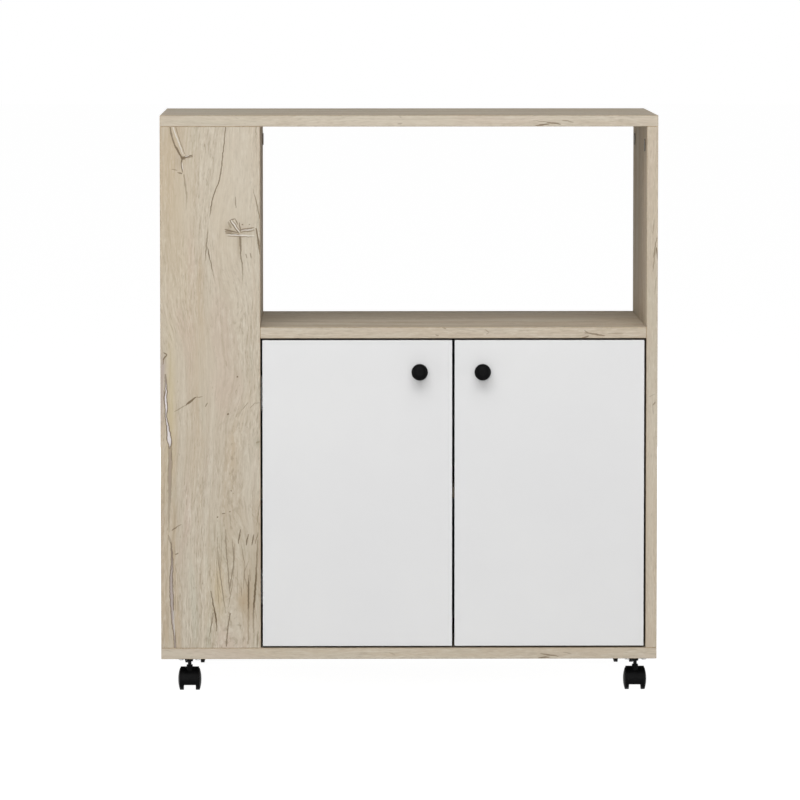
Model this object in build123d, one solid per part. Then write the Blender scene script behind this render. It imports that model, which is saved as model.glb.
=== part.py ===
from build123d import *
import os

# Storage cabinet on four swivel casters. All sizes are in millimetres.
# X runs to the viewer's right, Y runs from the front to the rear, and Z runs up.
# The origin is on the floor, in the middle of the whole outline.

# Boards
WIDTH = 672.0
DEPTH = 350.0
BOARD = 15.0
EDGE_EASE = 0.4
LEFT_FACE = 135.0
NICHE_HEIGHT = 271.0
CUPBOARD_HEIGHT = 421.0
INNER_SHELF_RISE = 201.5
INNER_SHELF_SETBACK = 30.0
SHELF_END_GAP = 0.5
SIDE_SHELVES = 2
SIDE_SHELF_SETBACK = 2.0
BACK_THICKNESS = 3.0
BACK_LAP = 8.0

# Doors and knobs
DOOR_SIDE_GAP = 2.8
DOOR_MEETING_GAP = 3.5
DOOR_END_GAP = 2.7
KNOB_RADIUS = 11.15
KNOB_OUT = 22.0
KNOB_HEAD = 10.5
KNOB_CROWN = 7.0
KNOB_NECK_RADIUS = 5.5
KNOB_BASE_RADIUS = 7.0
KNOB_DROP = 42.3
LEFT_KNOB_INSET = 44.05
RIGHT_KNOB_INSET = 37.55
KNOB_SCREW_RADIUS = 2.0
KNOB_SCREW_REACH = 11.0
KNOB_SCREW_HEAD_RADIUS = 4.0
KNOB_SCREW_HEAD = 2.5

# Concealed hinges: places are measured from the door's hinge edge and its front face
HINGE_FROM_DOOR_END = 75.0
CUP_RADIUS = 17.5
CUP_CENTRE = 21.5
CUP_DEPTH = 11.5
CUP_WALL = 0.9
CUP_FLANGE = 1.2
CUP_FLANGE_LIP = 1.0
CUP_SCREW_SPACING = 52.0
CUP_SCREW_OFFSET = 5.5
CUP_EAR_WIDTH = 13.0
PIVOT_IN = 14.0
PIVOT_BACK = 7.0
PIN_RADIUS = 1.25
KNUCKLE_RADIUS = 2.4
LUG_THICKNESS = 3.0
NECK_WIDTH = 12.0
NECK_REACH = 14.0
NECK_STRAIGHT = 8.5
ARM_METAL = 1.8
ARM_WIDTH = 18.0
ARM_RISE = 8.4
ARM_LENGTH = 34.0
PLATE_SETBACK = 37.0
PLATE_METAL = 1.6
PLATE_SCREW_SPACING = 32.0
SPRING_METAL = 0.6
SPRING_WIDTH = 7.0
CLAMP_SCREW_RADIUS = 2.5
CLAMP_SCREW_HEAD_RADIUS = 4.0
CLAMP_SCREW_HEAD = 2.5

# Small wood screws of the hinges and casters
SCREW_RADIUS = 1.5
SCREW_LENGTH = 12.0
SCREW_HEAD_RADIUS = 3.4
SCREW_HEAD = 1.8

# Cam locks, their bolts and covers, dowels, shelf pins and nails
CAM_RADIUS = 7.4
CAM_BORE_DEPTH = 12.5
CAM_HEIGHT = 12.0
CAM_INSET = 26.5
CAM_FROM_FRONT = 45.0
CAM_FROM_REAR = 48.0
CAP_RADIUS = 8.5
CAP_THICKNESS = 1.5
BOLT_RADIUS = 2.5
BOLT_THREAD = 11.0
BOLT_COLLAR_RADIUS = 3.5
BOLT_COLLAR = 3.0
BOLT_SHANK_RADIUS = 2.2
BOLT_HEAD_RADIUS = 3.0
DOWEL_RADIUS = 4.0
DOWEL_IN_FACE = 10.0
DOWEL_IN_EDGE = 20.0
DOWEL_FROM_CAM = 40.0
BAY_DOWEL_FROM_SIDE = 14.0
BAY_DOWEL_FROM_DIVIDER = 15.0
SHELF_CAM_FROM_FRONT = 62.0
SHELF_CAM_FROM_REAR = 60.0
SHELF_DOWEL_FROM_EDGE = 110.0
CORNER_CAM_FROM_END = 120.0
CORNER_DOWEL_FROM_FLOOR = 239.0
CORNER_DOWEL_FROM_CEILING = 200.0
SHELF_PIN_RADIUS = 2.5
SHELF_PIN_PEG = 8.0
SHELF_PIN_BODY = 6.0
SHELF_PIN_TONGUE = 12.0
SHELF_PIN_WIDTH = 9.0
SHELF_PIN_FROM_END = 30.0
NAIL_RADIUS = 0.7
NAIL_LENGTH = 14.0
NAIL_HEAD_RADIUS = 2.2
NAIL_HEAD = 0.8

# Casters
CASTER_FROM_LEFT = 37.8
CASTER_FROM_RIGHT = 27.8
CASTER_FROM_FRONT = 25.0
CASTER_FROM_REAR = 25.0
CASTER_TRAIL = 8.0
WHEEL_RADIUS = 15.0
WHEEL_TREAD = 5.4
WHEEL_SPACING = 16.4
WHEEL_DOME = 2.1
WHEEL_BORE_DEPTH = 4.8
AXLE_RADIUS = 2.0
HOOD_WIDTH = 25.0
HOOD_WALL = 1.2
HOOD_CLEARANCE = 0.8
HOOD_FROM_FLOOR = 8.3
HOOD_OPEN_ABOVE_AXLE = 5.0
BOSS_RADIUS = 4.2
BOSS_RISE = 3.6
KINGPIN_RADIUS = 2.5
KINGPIN_SHOWN = 4.7
KINGPIN_IN_BOSS = 13.5
COLLAR_RADIUS = 4.65
COLLAR_HEIGHT = 4.5
CASTER_PLATE = 32.0
CASTER_PLATE_METAL = 1.2
CASTER_PLATE_CORNER = 4.0
CASTER_SCREW_SPACING = 23.0

# Clearances
RUNNING_FIT = 0.05
HOLE_FIT = 0.1
BORE_FIT = 0.15
SIDE_CLEARANCE = 0.3

# Planes and lines that everything is placed from
x_left = -WIDTH / 2
x_right = WIDTH / 2
x_open = x_left + LEFT_FACE
x_wall = x_right - BOARD
y_front = KNOB_OUT - (KNOB_OUT + DEPTH + BACK_THICKNESS + NAIL_HEAD) / 2
y_rear = y_front + DEPTH
hood_radius = WHEEL_RADIUS + HOOD_CLEARANCE + HOOD_WALL
z_boss = WHEEL_RADIUS + hood_radius + BOSS_RISE
z_collar = z_boss + KINGPIN_SHOWN
z_plate = z_collar + COLLAR_HEIGHT
z_under = z_plate + CASTER_PLATE_METAL
z_floor = z_under + BOARD
z_shelf = z_floor + CUPBOARD_HEIGHT
z_niche = z_shelf + BOARD
z_ceiling = z_niche + NICHE_HEIGHT
z_top = z_ceiling + BOARD
door_z0 = z_floor + DOOR_END_GAP
door_z1 = z_shelf - DOOR_END_GAP
door_width = (x_wall - x_open - 2 * DOOR_SIDE_GAP - DOOR_MEETING_GAP) / 2
edge_left = x_open + DOOR_SIDE_GAP
edge_right = x_wall - DOOR_SIDE_GAP

X = Vector(1, 0, 0)
Y = Vector(0, 1, 0)
Z = Vector(0, 0, 1)

boards = {}
holes = {}
fittings = {}


def block(x0, x1, y0, y1, z0, z1):
    """A plain box between two corners."""
    middle = Pos((x0 + x1) / 2, (y0 + y1) / 2, (z0 + z1) / 2)
    return middle * Box(x1 - x0, y1 - y0, z1 - z0)


def add_board(name, x0, x1, y0, y1, z0, z1):
    """A board with its sharp edges broken."""
    plain = block(x0, x1, y0, y1, z0, z1)
    boards[name] = chamfer(plain.edges(), EDGE_EASE)
    holes[name] = []


def rod(start, along, length, radius):
    """A round bar from a point, along a direction."""
    end = Plane(origin=start, z_dir=along)
    return end * Cylinder(radius, length, align=(Align.CENTER, Align.CENTER, Align.MIN))


def bar(start, along, up, length, height, width):
    """A square-edged bar from a point: height lies along up, and the bar is centred on its line."""
    end = Plane(origin=start, x_dir=up, z_dir=along)
    return end * Box(height, width, length, align=(Align.CENTER, Align.CENTER, Align.MIN))


def turned(outline, axis):
    """A body of revolution from the lines and arcs of its half section."""
    edges = [edge for line in outline for edge in line.edges()]
    return revolve(make_face(edges), axis)


def add_fitting(name, solid):
    fittings.setdefault(name, []).append(solid)


def spaced(first, last, count):
    """Evenly spaced places from the first to the last."""
    return [first + (last - first) * i / (count - 1) for i in range(count)]


# Boards of the carcass
add_board("bottom_panel", x_left, x_right, y_front, y_rear, z_under, z_floor)
add_board("top_panel", x_left, x_right, y_front, y_rear, z_ceiling, z_top)
add_board("right_side_panel", x_wall, x_right, y_front, y_rear, z_floor, z_ceiling)
add_board("left_front_panel", x_left, x_open, y_front, y_front + BOARD, z_floor, z_ceiling)
add_board("left_rear_panel", x_left, x_open, y_rear - BOARD, y_rear, z_floor, z_ceiling)
add_board("divider_panel", x_open - BOARD, x_open, y_front + BOARD, y_rear - BOARD, z_floor, z_ceiling)
add_board("niche_shelf", x_open, x_wall, y_front, y_rear, z_shelf, z_niche)

inner_z = z_floor + INNER_SHELF_RISE
add_board(
    "inner_shelf",
    x_open + SHELF_END_GAP,
    x_wall - SHELF_END_GAP,
    y_front + INNER_SHELF_SETBACK,
    y_rear - SHELF_END_GAP,
    inner_z,
    inner_z + BOARD,
)

bay_step = (z_ceiling - z_floor - SIDE_SHELVES * BOARD) / (SIDE_SHELVES + 1)
side_shelf_names = ["side_shelf_lower", "side_shelf_upper"]
side_shelf_z = [z_floor + bay_step + i * (bay_step + BOARD) for i in range(SIDE_SHELVES)]
for name, z in zip(side_shelf_names, side_shelf_z):
    add_board(
        name,
        x_left + SIDE_SHELF_SETBACK,
        x_open - BOARD - SHELF_END_GAP,
        y_front + BOARD + SHELF_END_GAP,
        y_rear - BOARD - SHELF_END_GAP,
        z,
        z + BOARD,
    )


# Cam locks and dowels
def cam_joint(seam, into, opens, edge_board, face_board):
    """A cam in one board, and the bolt in its neighbour that the cam draws in.

    seam lies in the joint, in the middle of the cam's board. into points from the joint
    along that board, and opens points out of the face that the cam is bored from.
    """
    centre = seam + into * CAM_INSET
    face = centre + opens * (BOARD / 2)
    floor = face - opens * CAM_BORE_DEPTH
    tunnel = BOLT_HEAD_RADIUS + 0.4
    holes[edge_board].append(rod(floor, opens, CAM_BORE_DEPTH + 1, CAM_RADIUS + HOLE_FIT))
    holes[edge_board].append(rod(seam - into, into, CAM_INSET, BOLT_COLLAR_RADIUS + 0.5))
    holes[face_board].append(rod(seam + into, -into, BOLT_THREAD + 1.5, BOLT_RADIUS + HOLE_FIT))
    cam = rod(floor, opens, CAM_HEIGHT, CAM_RADIUS)
    cam -= rod(centre + into * (tunnel + 0.6), -into, CAM_RADIUS * 2, tunnel)
    cam -= bar(floor + opens * (CAM_HEIGHT - 1.5), opens, into, 2, 9, 1.4)
    add_fitting("cam_locks", cam)
    bolt = rod(seam - into * BOLT_THREAD, into, BOLT_THREAD, BOLT_RADIUS)
    bolt += rod(seam, into, BOLT_COLLAR, BOLT_COLLAR_RADIUS)
    bolt += rod(seam, into, CAM_INSET, BOLT_SHANK_RADIUS)
    bolt += Pos(centre) * Sphere(BOLT_HEAD_RADIUS)
    add_fitting("cam_bolts", bolt)
    stub = CAM_BORE_DEPTH - CAM_HEIGHT
    disc = rod(face, opens, CAP_THICKNESS, CAP_RADIUS)
    rim = disc.edges().filter_by(GeomType.CIRCLE).sort_by(Axis(face, opens))[-1]
    disc = fillet(rim, CAP_THICKNESS / 2)
    add_fitting("cam_caps", disc + rod(face - opens * stub, opens, stub, CAM_RADIUS - HOLE_FIT))


def dowel_joint(seam, into, edge_board, face_board):
    """A wooden dowel across a joint, longer in the edge than in the face."""
    start = seam - into * DOWEL_IN_FACE
    length = DOWEL_IN_FACE + DOWEL_IN_EDGE
    holes[edge_board].append(rod(seam - into, into, DOWEL_IN_EDGE + 1.5, DOWEL_RADIUS + HOLE_FIT))
    holes[face_board].append(rod(seam + into, -into, DOWEL_IN_FACE + 1.5, DOWEL_RADIUS + HOLE_FIT))
    peg = rod(start, into, length, DOWEL_RADIUS)
    rims = peg.edges().filter_by(GeomType.CIRCLE)
    add_fitting("dowels", chamfer(rims, 0.8))


half = BOARD / 2
front_cam = y_front + CAM_FROM_FRONT
rear_cam = y_rear - CAM_FROM_REAR
bay_middle = x_left + LEFT_FACE / 2
for z, up, plate in ((z_ceiling, -Z, "top_panel"), (z_floor, Z, "bottom_panel")):
    for y in (front_cam, rear_cam):
        cam_joint(Vector(x_wall + half, y, z), up, -X, "right_side_panel", plate)
    for y in (front_cam + DOWEL_FROM_CAM, rear_cam - DOWEL_FROM_CAM):
        dowel_joint(Vector(x_wall + half, y, z), up, "right_side_panel", plate)
    cam_joint(Vector(x_open - half, rear_cam, z), up, X, "divider_panel", plate)
    dowel_joint(Vector(x_open - half, front_cam + DOWEL_FROM_CAM, z), up, "divider_panel", plate)
    for name, y, inward in (
        ("left_front_panel", y_front + half, Y),
        ("left_rear_panel", y_rear - half, -Y),
    ):
        cam_joint(Vector(bay_middle, y, z), up, inward, name, plate)
        for x in (x_left + BAY_DOWEL_FROM_SIDE, x_open - BOARD - BAY_DOWEL_FROM_DIVIDER):
            dowel_joint(Vector(x, y, z), up, name, plate)

for x, into, side in ((x_open, X, "divider_panel"), (x_wall, -X, "right_side_panel")):
    for y in (y_front + SHELF_CAM_FROM_FRONT, y_rear - SHELF_CAM_FROM_REAR):
        cam_joint(Vector(x, y, z_shelf + half), into, -Z, "niche_shelf", side)
    for y in (y_front + SHELF_DOWEL_FROM_EDGE, y_rear - SHELF_DOWEL_FROM_EDGE):
        dowel_joint(Vector(x, y, z_shelf + half), into, "niche_shelf", side)

for y, into, face in (
    (y_front + BOARD, Y, "left_front_panel"),
    (y_rear - BOARD, -Y, "left_rear_panel"),
):
    for z in (z_floor + CORNER_CAM_FROM_END, z_ceiling - CORNER_CAM_FROM_END):
        cam_joint(Vector(x_open - half, y, z), into, -X, "divider_panel", face)
    for z in (z_floor + CORNER_DOWEL_FROM_FLOOR, z_ceiling - CORNER_DOWEL_FROM_CEILING):
        dowel_joint(Vector(x_open - half, y, z), into, "divider_panel", face)


# Shelf pins
def shelf_pin(face, out, board):
    """A moulded pin whose flat top carries a shelf. face is where the shelf's underside meets the board."""
    axis = face - Z * (SHELF_PIN_BODY / 2)
    holes[board].append(rod(axis + out, -out, SHELF_PIN_PEG + 2, SHELF_PIN_RADIUS + HOLE_FIT))
    peg = rod(axis - out * SHELF_PIN_PEG, out, SHELF_PIN_PEG + 1, SHELF_PIN_RADIUS)
    tongue = bar(axis, out, Z, SHELF_PIN_TONGUE, SHELF_PIN_BODY, SHELF_PIN_WIDTH)
    nose = tongue.faces().sort_by(Axis(axis, out))[-1]
    tip = nose.edges().sort_by(Axis.Z)[0]
    add_fitting("shelf_pins", chamfer(tip, SHELF_PIN_BODY / 2) + peg)


for x, out, board in ((x_open, X, "divider_panel"), (x_wall, -X, "right_side_panel")):
    for y in (y_front + INNER_SHELF_SETBACK + SHELF_PIN_FROM_END, y_rear - SHELF_PIN_FROM_END):
        shelf_pin(Vector(x, y, inner_z), out, board)
for y, out, board in (
    (y_front + BOARD, Y, "left_front_panel"),
    (y_rear - BOARD, -Y, "left_rear_panel"),
):
    for x in (x_left + SHELF_PIN_FROM_END, x_open - BOARD - 0.8 * SHELF_PIN_FROM_END):
        for z in side_shelf_z:
            shelf_pin(Vector(x, y, z), out, board)

# Back of the cupboard, nailed over the rear edges
back_x0 = x_open - BACK_LAP
back_x1 = x_wall + BACK_LAP
back_z0 = z_floor - BACK_LAP
back_z1 = z_shelf + BACK_LAP
back = block(back_x0, back_x1, y_rear, y_rear + BACK_THICKNESS, back_z0, back_z1)
nail_x = (back_x0 + BACK_LAP / 2, back_x1 - BACK_LAP / 2)
nail_z = (back_z0 + BACK_LAP / 2, back_z1 - BACK_LAP / 2)
nail_places = [(x, z, "bottom_panel") for x in spaced(nail_x[0] + 20, nail_x[1] - 20, 5) for z in nail_z[:1]]
nail_places += [(x, z, "niche_shelf") for x in spaced(nail_x[0] + 20, nail_x[1] - 20, 5) for z in nail_z[1:]]
nail_places += [(nail_x[0], z, "left_rear_panel") for z in spaced(nail_z[0] + 26, nail_z[1] - 26, 4)]
nail_places += [(nail_x[1], z, "right_side_panel") for z in spaced(nail_z[0] + 26, nail_z[1] - 26, 4)]
for x, z, board in nail_places:
    start = Vector(x, y_rear + BACK_THICKNESS, z)
    shank = rod(start, -Y, NAIL_LENGTH, NAIL_RADIUS)
    add_fitting("back_nails", shank + rod(start, Y, NAIL_HEAD, NAIL_HEAD_RADIUS))
    hole = rod(start + Y, -Y, NAIL_LENGTH + 1.5, NAIL_RADIUS + RUNNING_FIT)
    back -= hole
    holes[board].append(hole)
fittings["back_panel"] = [back]


# Doors, knobs and knob screws
def add_door(side, x0, x1, knob_x):
    """An inset door with its knob and the screw that holds the knob from behind."""
    name = side + "_door"
    add_board(name, x0, x1, y_front, y_front + BOARD, door_z0, door_z1)
    face = Vector(knob_x, y_front, door_z1 - KNOB_DROP)
    inside = face + Y * BOARD
    holes[name].append(rod(face - Y, Y, BOARD + 2, KNOB_SCREW_RADIUS + BORE_FIT))
    screw = rod(inside, -Y, BOARD + KNOB_SCREW_REACH, KNOB_SCREW_RADIUS)
    head = rod(inside, Y, KNOB_SCREW_HEAD, KNOB_SCREW_HEAD_RADIUS)
    head_rim = head.edges().filter_by(GeomType.CIRCLE).sort_by(Axis.Y)[-1]
    slot = bar(inside + Y * (KNOB_SCREW_HEAD - 1), Y, Z, 2, 5, 1.1)
    add_fitting(side + "_knob_screw", screw + fillet(head_rim, 1.0) - slot)

    outline = FilletPolyline(
        (KNOB_BASE_RADIUS, 0),
        (KNOB_BASE_RADIUS, 1.5),
        (KNOB_NECK_RADIUS, 3),
        (KNOB_NECK_RADIUS, KNOB_OUT - KNOB_HEAD - 1.5),
        (KNOB_RADIUS, KNOB_OUT - KNOB_HEAD),
        (KNOB_RADIUS, KNOB_OUT),
        (0, KNOB_OUT),
        radius=(0.4, 0.8, 2.5, 1.5, KNOB_CROWN),
    )
    middle = Polyline(outline @ 1, (0, 0), outline @ 0)
    knob = turned([outline, middle], Axis.Y)
    knob -= rod((0, -1, 0), (0, 1, 0), KNOB_SCREW_REACH + 2, KNOB_SCREW_RADIUS + RUNNING_FIT)
    add_fitting(side + "_knob", Pos(face) * Rot(0, 0, 180) * knob)


add_door("left", edge_left, edge_left + door_width, edge_left + door_width - LEFT_KNOB_INSET)
add_door("right", edge_right - door_width, edge_right, edge_right - door_width + RIGHT_KNOB_INSET)


# Concealed hinges, made once beside the left door's edge and mirrored for the right door.
# Here X is measured from the door's hinge edge, Y from its front face, Z from the hinge's middle.
pivot = Vector(PIVOT_IN, PIVOT_BACK, 0)
cup_floor = BOARD - CUP_DEPTH
cup_outer = CUP_RADIUS - BORE_FIT
cup_inner = cup_outer - CUP_WALL
flange_top = BOARD + CUP_FLANGE
ear_x = CUP_CENTRE + CUP_SCREW_OFFSET
ear_z = CUP_SCREW_SPACING / 2
lug_z = NECK_WIDTH / 2 + SIDE_CLEARANCE
panel_face = -DOOR_SIDE_GAP
arm_under = panel_face + ARM_RISE
plate_y = BOARD + PLATE_SETBACK
arm_y1 = plate_y + ARM_LENGTH - 6
clamp_y = plate_y + 18

cup_bore = rod((CUP_CENTRE, cup_floor, 0), (0, 1, 0), CUP_DEPTH + 1, CUP_RADIUS)
cup = rod((CUP_CENTRE, cup_floor, 0), (0, 1, 0), CUP_DEPTH, cup_outer)
cup += rod((CUP_CENTRE, BOARD, 0), (0, 1, 0), CUP_FLANGE, CUP_RADIUS + CUP_FLANGE_LIP)
ears = Box(CUP_EAR_WIDTH, CUP_FLANGE, CUP_SCREW_SPACING + CUP_EAR_WIDTH)
ears = fillet(ears.edges().filter_by(Axis.Y), CUP_EAR_WIDTH * 0.4)
cup += Pos(ear_x, BOARD + CUP_FLANGE / 2, 0) * ears
cup -= rod((CUP_CENTRE, cup_floor + CUP_WALL, 0), (0, 1, 0), CUP_DEPTH + 5, cup_inner)
for sign in (-1, 1):
    lug = block(
        PIVOT_IN - KNUCKLE_RADIUS - 0.6,
        PIVOT_IN + KNUCKLE_RADIUS + 0.6,
        cup_floor + CUP_WALL / 2,
        PIVOT_BACK + KNUCKLE_RADIUS,
        min(sign * lug_z, sign * (lug_z + LUG_THICKNESS)),
        max(sign * lug_z, sign * (lug_z + LUG_THICKNESS)),
    )
    cup += lug
    cup -= rod((ear_x, BOARD - 1, sign * ear_z), (0, 1, 0), CUP_FLANGE + 2, SCREW_RADIUS + BORE_FIT)
pin_half = lug_z + LUG_THICKNESS
cup -= rod(pivot - Z * (pin_half + 1), Z, 2 * pin_half + 2, PIN_RADIUS + RUNNING_FIT)
pin = rod(pivot - Z * pin_half, Z, 2 * pin_half, PIN_RADIUS)

# The neck leaves the knuckle inside the cup, turns out of its mouth and slants back to the panel
neck_x = PIVOT_IN + NECK_REACH
neck_line = FilletPolyline(
    (PIVOT_IN, PIVOT_BACK),
    (neck_x, PIVOT_BACK),
    (neck_x, BOARD + NECK_STRAIGHT),
    (arm_under + ARM_METAL / 2, plate_y - 10),
    (arm_under + ARM_METAL / 2, plate_y),
    radius=2.6,
)
neck = extrude(trace(neck_line, ARM_METAL), NECK_WIDTH / 2, both=True)
arm = neck + rod(pivot - Z * (NECK_WIDTH / 2), Z, NECK_WIDTH, KNUCKLE_RADIUS)
arm += block(arm_under, arm_under + ARM_METAL, plate_y - 8, arm_y1, -ARM_WIDTH / 2, ARM_WIDTH / 2)
for sign in (-1, 1):
    outer = sign * ARM_WIDTH / 2
    inner = sign * (ARM_WIDTH / 2 - ARM_METAL)
    arm += block(
        panel_face + PLATE_METAL + 0.6,
        arm_under + ARM_METAL,
        plate_y - 4,
        arm_y1,
        min(inner, outer),
        max(inner, outer),
    )
arm -= rod(pivot - Z * NECK_WIDTH, Z, 2 * NECK_WIDTH, PIN_RADIUS + RUNNING_FIT)
arm -= rod((arm_under - 1, clamp_y, 0), (1, 0, 0), ARM_METAL + 2, CLAMP_SCREW_RADIUS + BORE_FIT)

# The mounting plate stands on the panel and carries the arm's channel on its block
block_half = ARM_WIDTH / 2 - ARM_METAL - 0.4
wing_z = PLATE_SCREW_SPACING / 2
foot = panel_face + PLATE_METAL
plate = block(panel_face, foot, plate_y - 7, arm_y1 - 1, -block_half, block_half)
plate += block(
    panel_face,
    foot,
    plate_y - 7,
    plate_y + 7,
    -wing_z - 7,
    wing_z + 7,
)
plate += block(foot, arm_under, plate_y, arm_y1 - 1, -block_half, block_half)
clamp_depth = ARM_RISE - 1.2
plate -= rod((arm_under + 1, clamp_y, 0), (-1, 0, 0), clamp_depth + 1, CLAMP_SCREW_RADIUS + RUNNING_FIT)
clamp = rod((arm_under + ARM_METAL, clamp_y, 0), (-1, 0, 0), ARM_METAL + clamp_depth - 0.5, CLAMP_SCREW_RADIUS)
clamp += rod((arm_under + ARM_METAL, clamp_y, 0), (1, 0, 0), CLAMP_SCREW_HEAD, CLAMP_SCREW_HEAD_RADIUS)
clamp -= bar(
    Vector(arm_under + ARM_METAL + CLAMP_SCREW_HEAD - 1.2, clamp_y, 0), X, Z, 2, 5.5, 1.2
)

# A leaf spring stands on the cup's floor beside the knuckle and holds the door shut
spring_x = PIVOT_IN - KNUCKLE_RADIUS - SIDE_CLEARANCE - SPRING_METAL / 2
spring_floor = cup_floor + CUP_WALL + SPRING_METAL / 2
spring_line = FilletPolyline(
    (spring_x - 3.2, spring_floor),
    (spring_x, spring_floor),
    (spring_x, BOARD - 3),
    (spring_x - 2, BOARD - 1.6),
    radius=0.8,
)
spring = extrude(trace(spring_line, SPRING_METAL), SPRING_WIDTH / 2, both=True)


def wood_screw(start, into):
    """A small pan-head screw: start lies under its head, and into is the way it is driven."""
    head = rod(start, -into, SCREW_HEAD, SCREW_HEAD_RADIUS)
    rim = head.edges().filter_by(GeomType.CIRCLE).sort_by(Axis(start, -into))[-1]
    head = fillet(rim, SCREW_HEAD * 0.45)
    cross = bar(start - into * (SCREW_HEAD - 0.9), -into, Z if abs(into.Z) < 0.5 else X, 2, 3.6, 0.8)
    return head + rod(start, into, SCREW_LENGTH, SCREW_RADIUS) - cross


def screw_hole(start, into):
    return rod(start - into * 3, into, SCREW_LENGTH + 3.5, SCREW_RADIUS + HOLE_FIT)


cup_screws = []
cup_screw_holes = []
plate_screws = []
plate_screw_holes = []
for sign in (-1, 1):
    under_head = Vector(ear_x, flange_top, sign * ear_z)
    cup_screws.append(wood_screw(under_head, -Y))
    cup_screw_holes.append(screw_hole(under_head, -Y))
    under_head = Vector(foot, plate_y, sign * wing_z)
    plate -= rod(under_head + X, -X, PLATE_METAL + 2, SCREW_RADIUS + BORE_FIT)
    plate_screws.append(wood_screw(under_head, -X))
    plate_screw_holes.append(screw_hole(under_head, -X))


def add_hinge(side, z):
    """Place one hinge, and cut its seats in the door and in the panel that carries it."""

    def put(shape):
        if side == "left":
            return Pos(edge_left, y_front, z) * shape
        return Pos(edge_right, y_front, z) * mirror(shape, about=Plane.YZ)

    door = side + "_door"
    panel = "divider_panel" if side == "left" else "right_side_panel"
    add_fitting(side + "_hinge_cups", put(cup))
    add_fitting(side + "_hinge_pins", put(pin))
    add_fitting(side + "_hinge_springs", put(spring))
    add_fitting(side + "_hinge_arms", put(arm))
    add_fitting(side + "_hinge_plates", put(plate))
    add_fitting("arm_clamp_screws", put(clamp))
    holes[door].append(put(cup_bore))
    for screw, hole in zip(cup_screws, cup_screw_holes):
        add_fitting(side + "_cup_screws", put(screw))
        holes[door].append(put(hole))
    for screw, hole in zip(plate_screws, plate_screw_holes):
        add_fitting("hinge_plate_screws", put(screw))
        holes[panel].append(put(hole))


for side in ("left", "right"):
    add_hinge(side, door_z0 + HINGE_FROM_DOOR_END)
    add_hinge(side, door_z1 - HINGE_FROM_DOOR_END)


# Casters. Each is made about its kingpin, with its wheels trailing towards the rear.
web_half = WHEEL_SPACING / 2 - SIDE_CLEARANCE
tunnel_radius = WHEEL_RADIUS + HOOD_CLEARANCE
axle_at = Vector(0, CASTER_TRAIL, WHEEL_RADIUS)
kingpin_end = z_boss - KINGPIN_IN_BOSS

housing = rod(axle_at - X * (HOOD_WIDTH / 2), X, HOOD_WIDTH, hood_radius)
for sign in (-1, 1):
    housing -= rod(axle_at + X * (sign * web_half), X * sign, HOOD_WIDTH, tunnel_radius)
    housing -= block(
        min(sign * web_half, sign * HOOD_WIDTH),
        max(sign * web_half, sign * HOOD_WIDTH),
        axle_at.Y,
        axle_at.Y + 2 * hood_radius,
        0,
        WHEEL_RADIUS + HOOD_OPEN_ABOVE_AXLE,
    )
housing -= block(
    -HOOD_WIDTH, HOOD_WIDTH, -2 * hood_radius, 3 * hood_radius, -hood_radius, HOOD_FROM_FLOOR
)
housing += rod((0, 0, kingpin_end), (0, 0, 1), KINGPIN_IN_BOSS, BOSS_RADIUS)
housing -= rod((0, 0, kingpin_end), (0, 0, 1), KINGPIN_IN_BOSS + 1, KINGPIN_RADIUS + RUNNING_FIT)
axle_half = WHEEL_SPACING / 2 + WHEEL_BORE_DEPTH - 0.3
housing -= rod(axle_at - X * HOOD_WIDTH, X, 2 * HOOD_WIDTH, AXLE_RADIUS + RUNNING_FIT)
axle = rod(axle_at - X * axle_half, X, 2 * axle_half, AXLE_RADIUS)

# One wheel, turned about X: a flat tread with rounded shoulders and a domed outer face
wheel_in = WHEEL_SPACING / 2
wheel_out = wheel_in + WHEEL_TREAD
shoulder = 0.7
wheel_edge = Polyline(
    (wheel_in, 0),
    (wheel_in, WHEEL_RADIUS - shoulder / 2),
    (wheel_in + shoulder / 2, WHEEL_RADIUS),
    (wheel_out - shoulder, WHEEL_RADIUS),
)
wheel_shoulder = TangentArc(
    wheel_edge @ 1, (wheel_out, WHEEL_RADIUS - shoulder), tangent=(1, 0)
)
wheel_face = ThreePointArc(
    wheel_shoulder @ 1,
    (wheel_out + WHEEL_DOME * 0.78, WHEEL_RADIUS / 2),
    (wheel_out + WHEEL_DOME, WHEEL_RADIUS * 0.2),
)
hub_line = Polyline(wheel_face @ 1, (wheel_out + WHEEL_DOME, 0), (wheel_in, 0))
wheel = turned([wheel_edge, wheel_shoulder, wheel_face, hub_line], Axis.X)
recess = rod((wheel_in - 1, 0, 0), (1, 0, 0), 3, WHEEL_RADIUS - 3)
recess -= rod((wheel_in - 1, 0, 0), (1, 0, 0), 3, AXLE_RADIUS + 2.5)
wheel -= recess
wheel -= rod((wheel_in - 1, 0, 0), (1, 0, 0), WHEEL_BORE_DEPTH + 1, AXLE_RADIUS + RUNNING_FIT)

kingpin = rod((0, 0, kingpin_end), (0, 0, 1), z_collar - kingpin_end, KINGPIN_RADIUS)
kingpin += rod((0, 0, z_collar), (0, 0, 1), COLLAR_HEIGHT, COLLAR_RADIUS)
kingpin += rod((0, 0, z_plate), (0, 0, 1), CASTER_PLATE_METAL - 0.3, KINGPIN_RADIUS + 0.8)
caster_plate = block(
    -CASTER_PLATE / 2, CASTER_PLATE / 2, -CASTER_PLATE / 2, CASTER_PLATE / 2, z_plate, z_under
)
caster_plate = fillet(caster_plate.edges().filter_by(Axis.Z), CASTER_PLATE_CORNER)
caster_plate -= rod((0, 0, z_plate - 1), (0, 0, 1), 4, KINGPIN_RADIUS + 0.8 + HOLE_FIT)
screw_at = CASTER_SCREW_SPACING / 2
caster_screw_places = [Vector(x, y, z_plate) for x in (-screw_at, screw_at) for y in (-screw_at, screw_at)]
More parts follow.
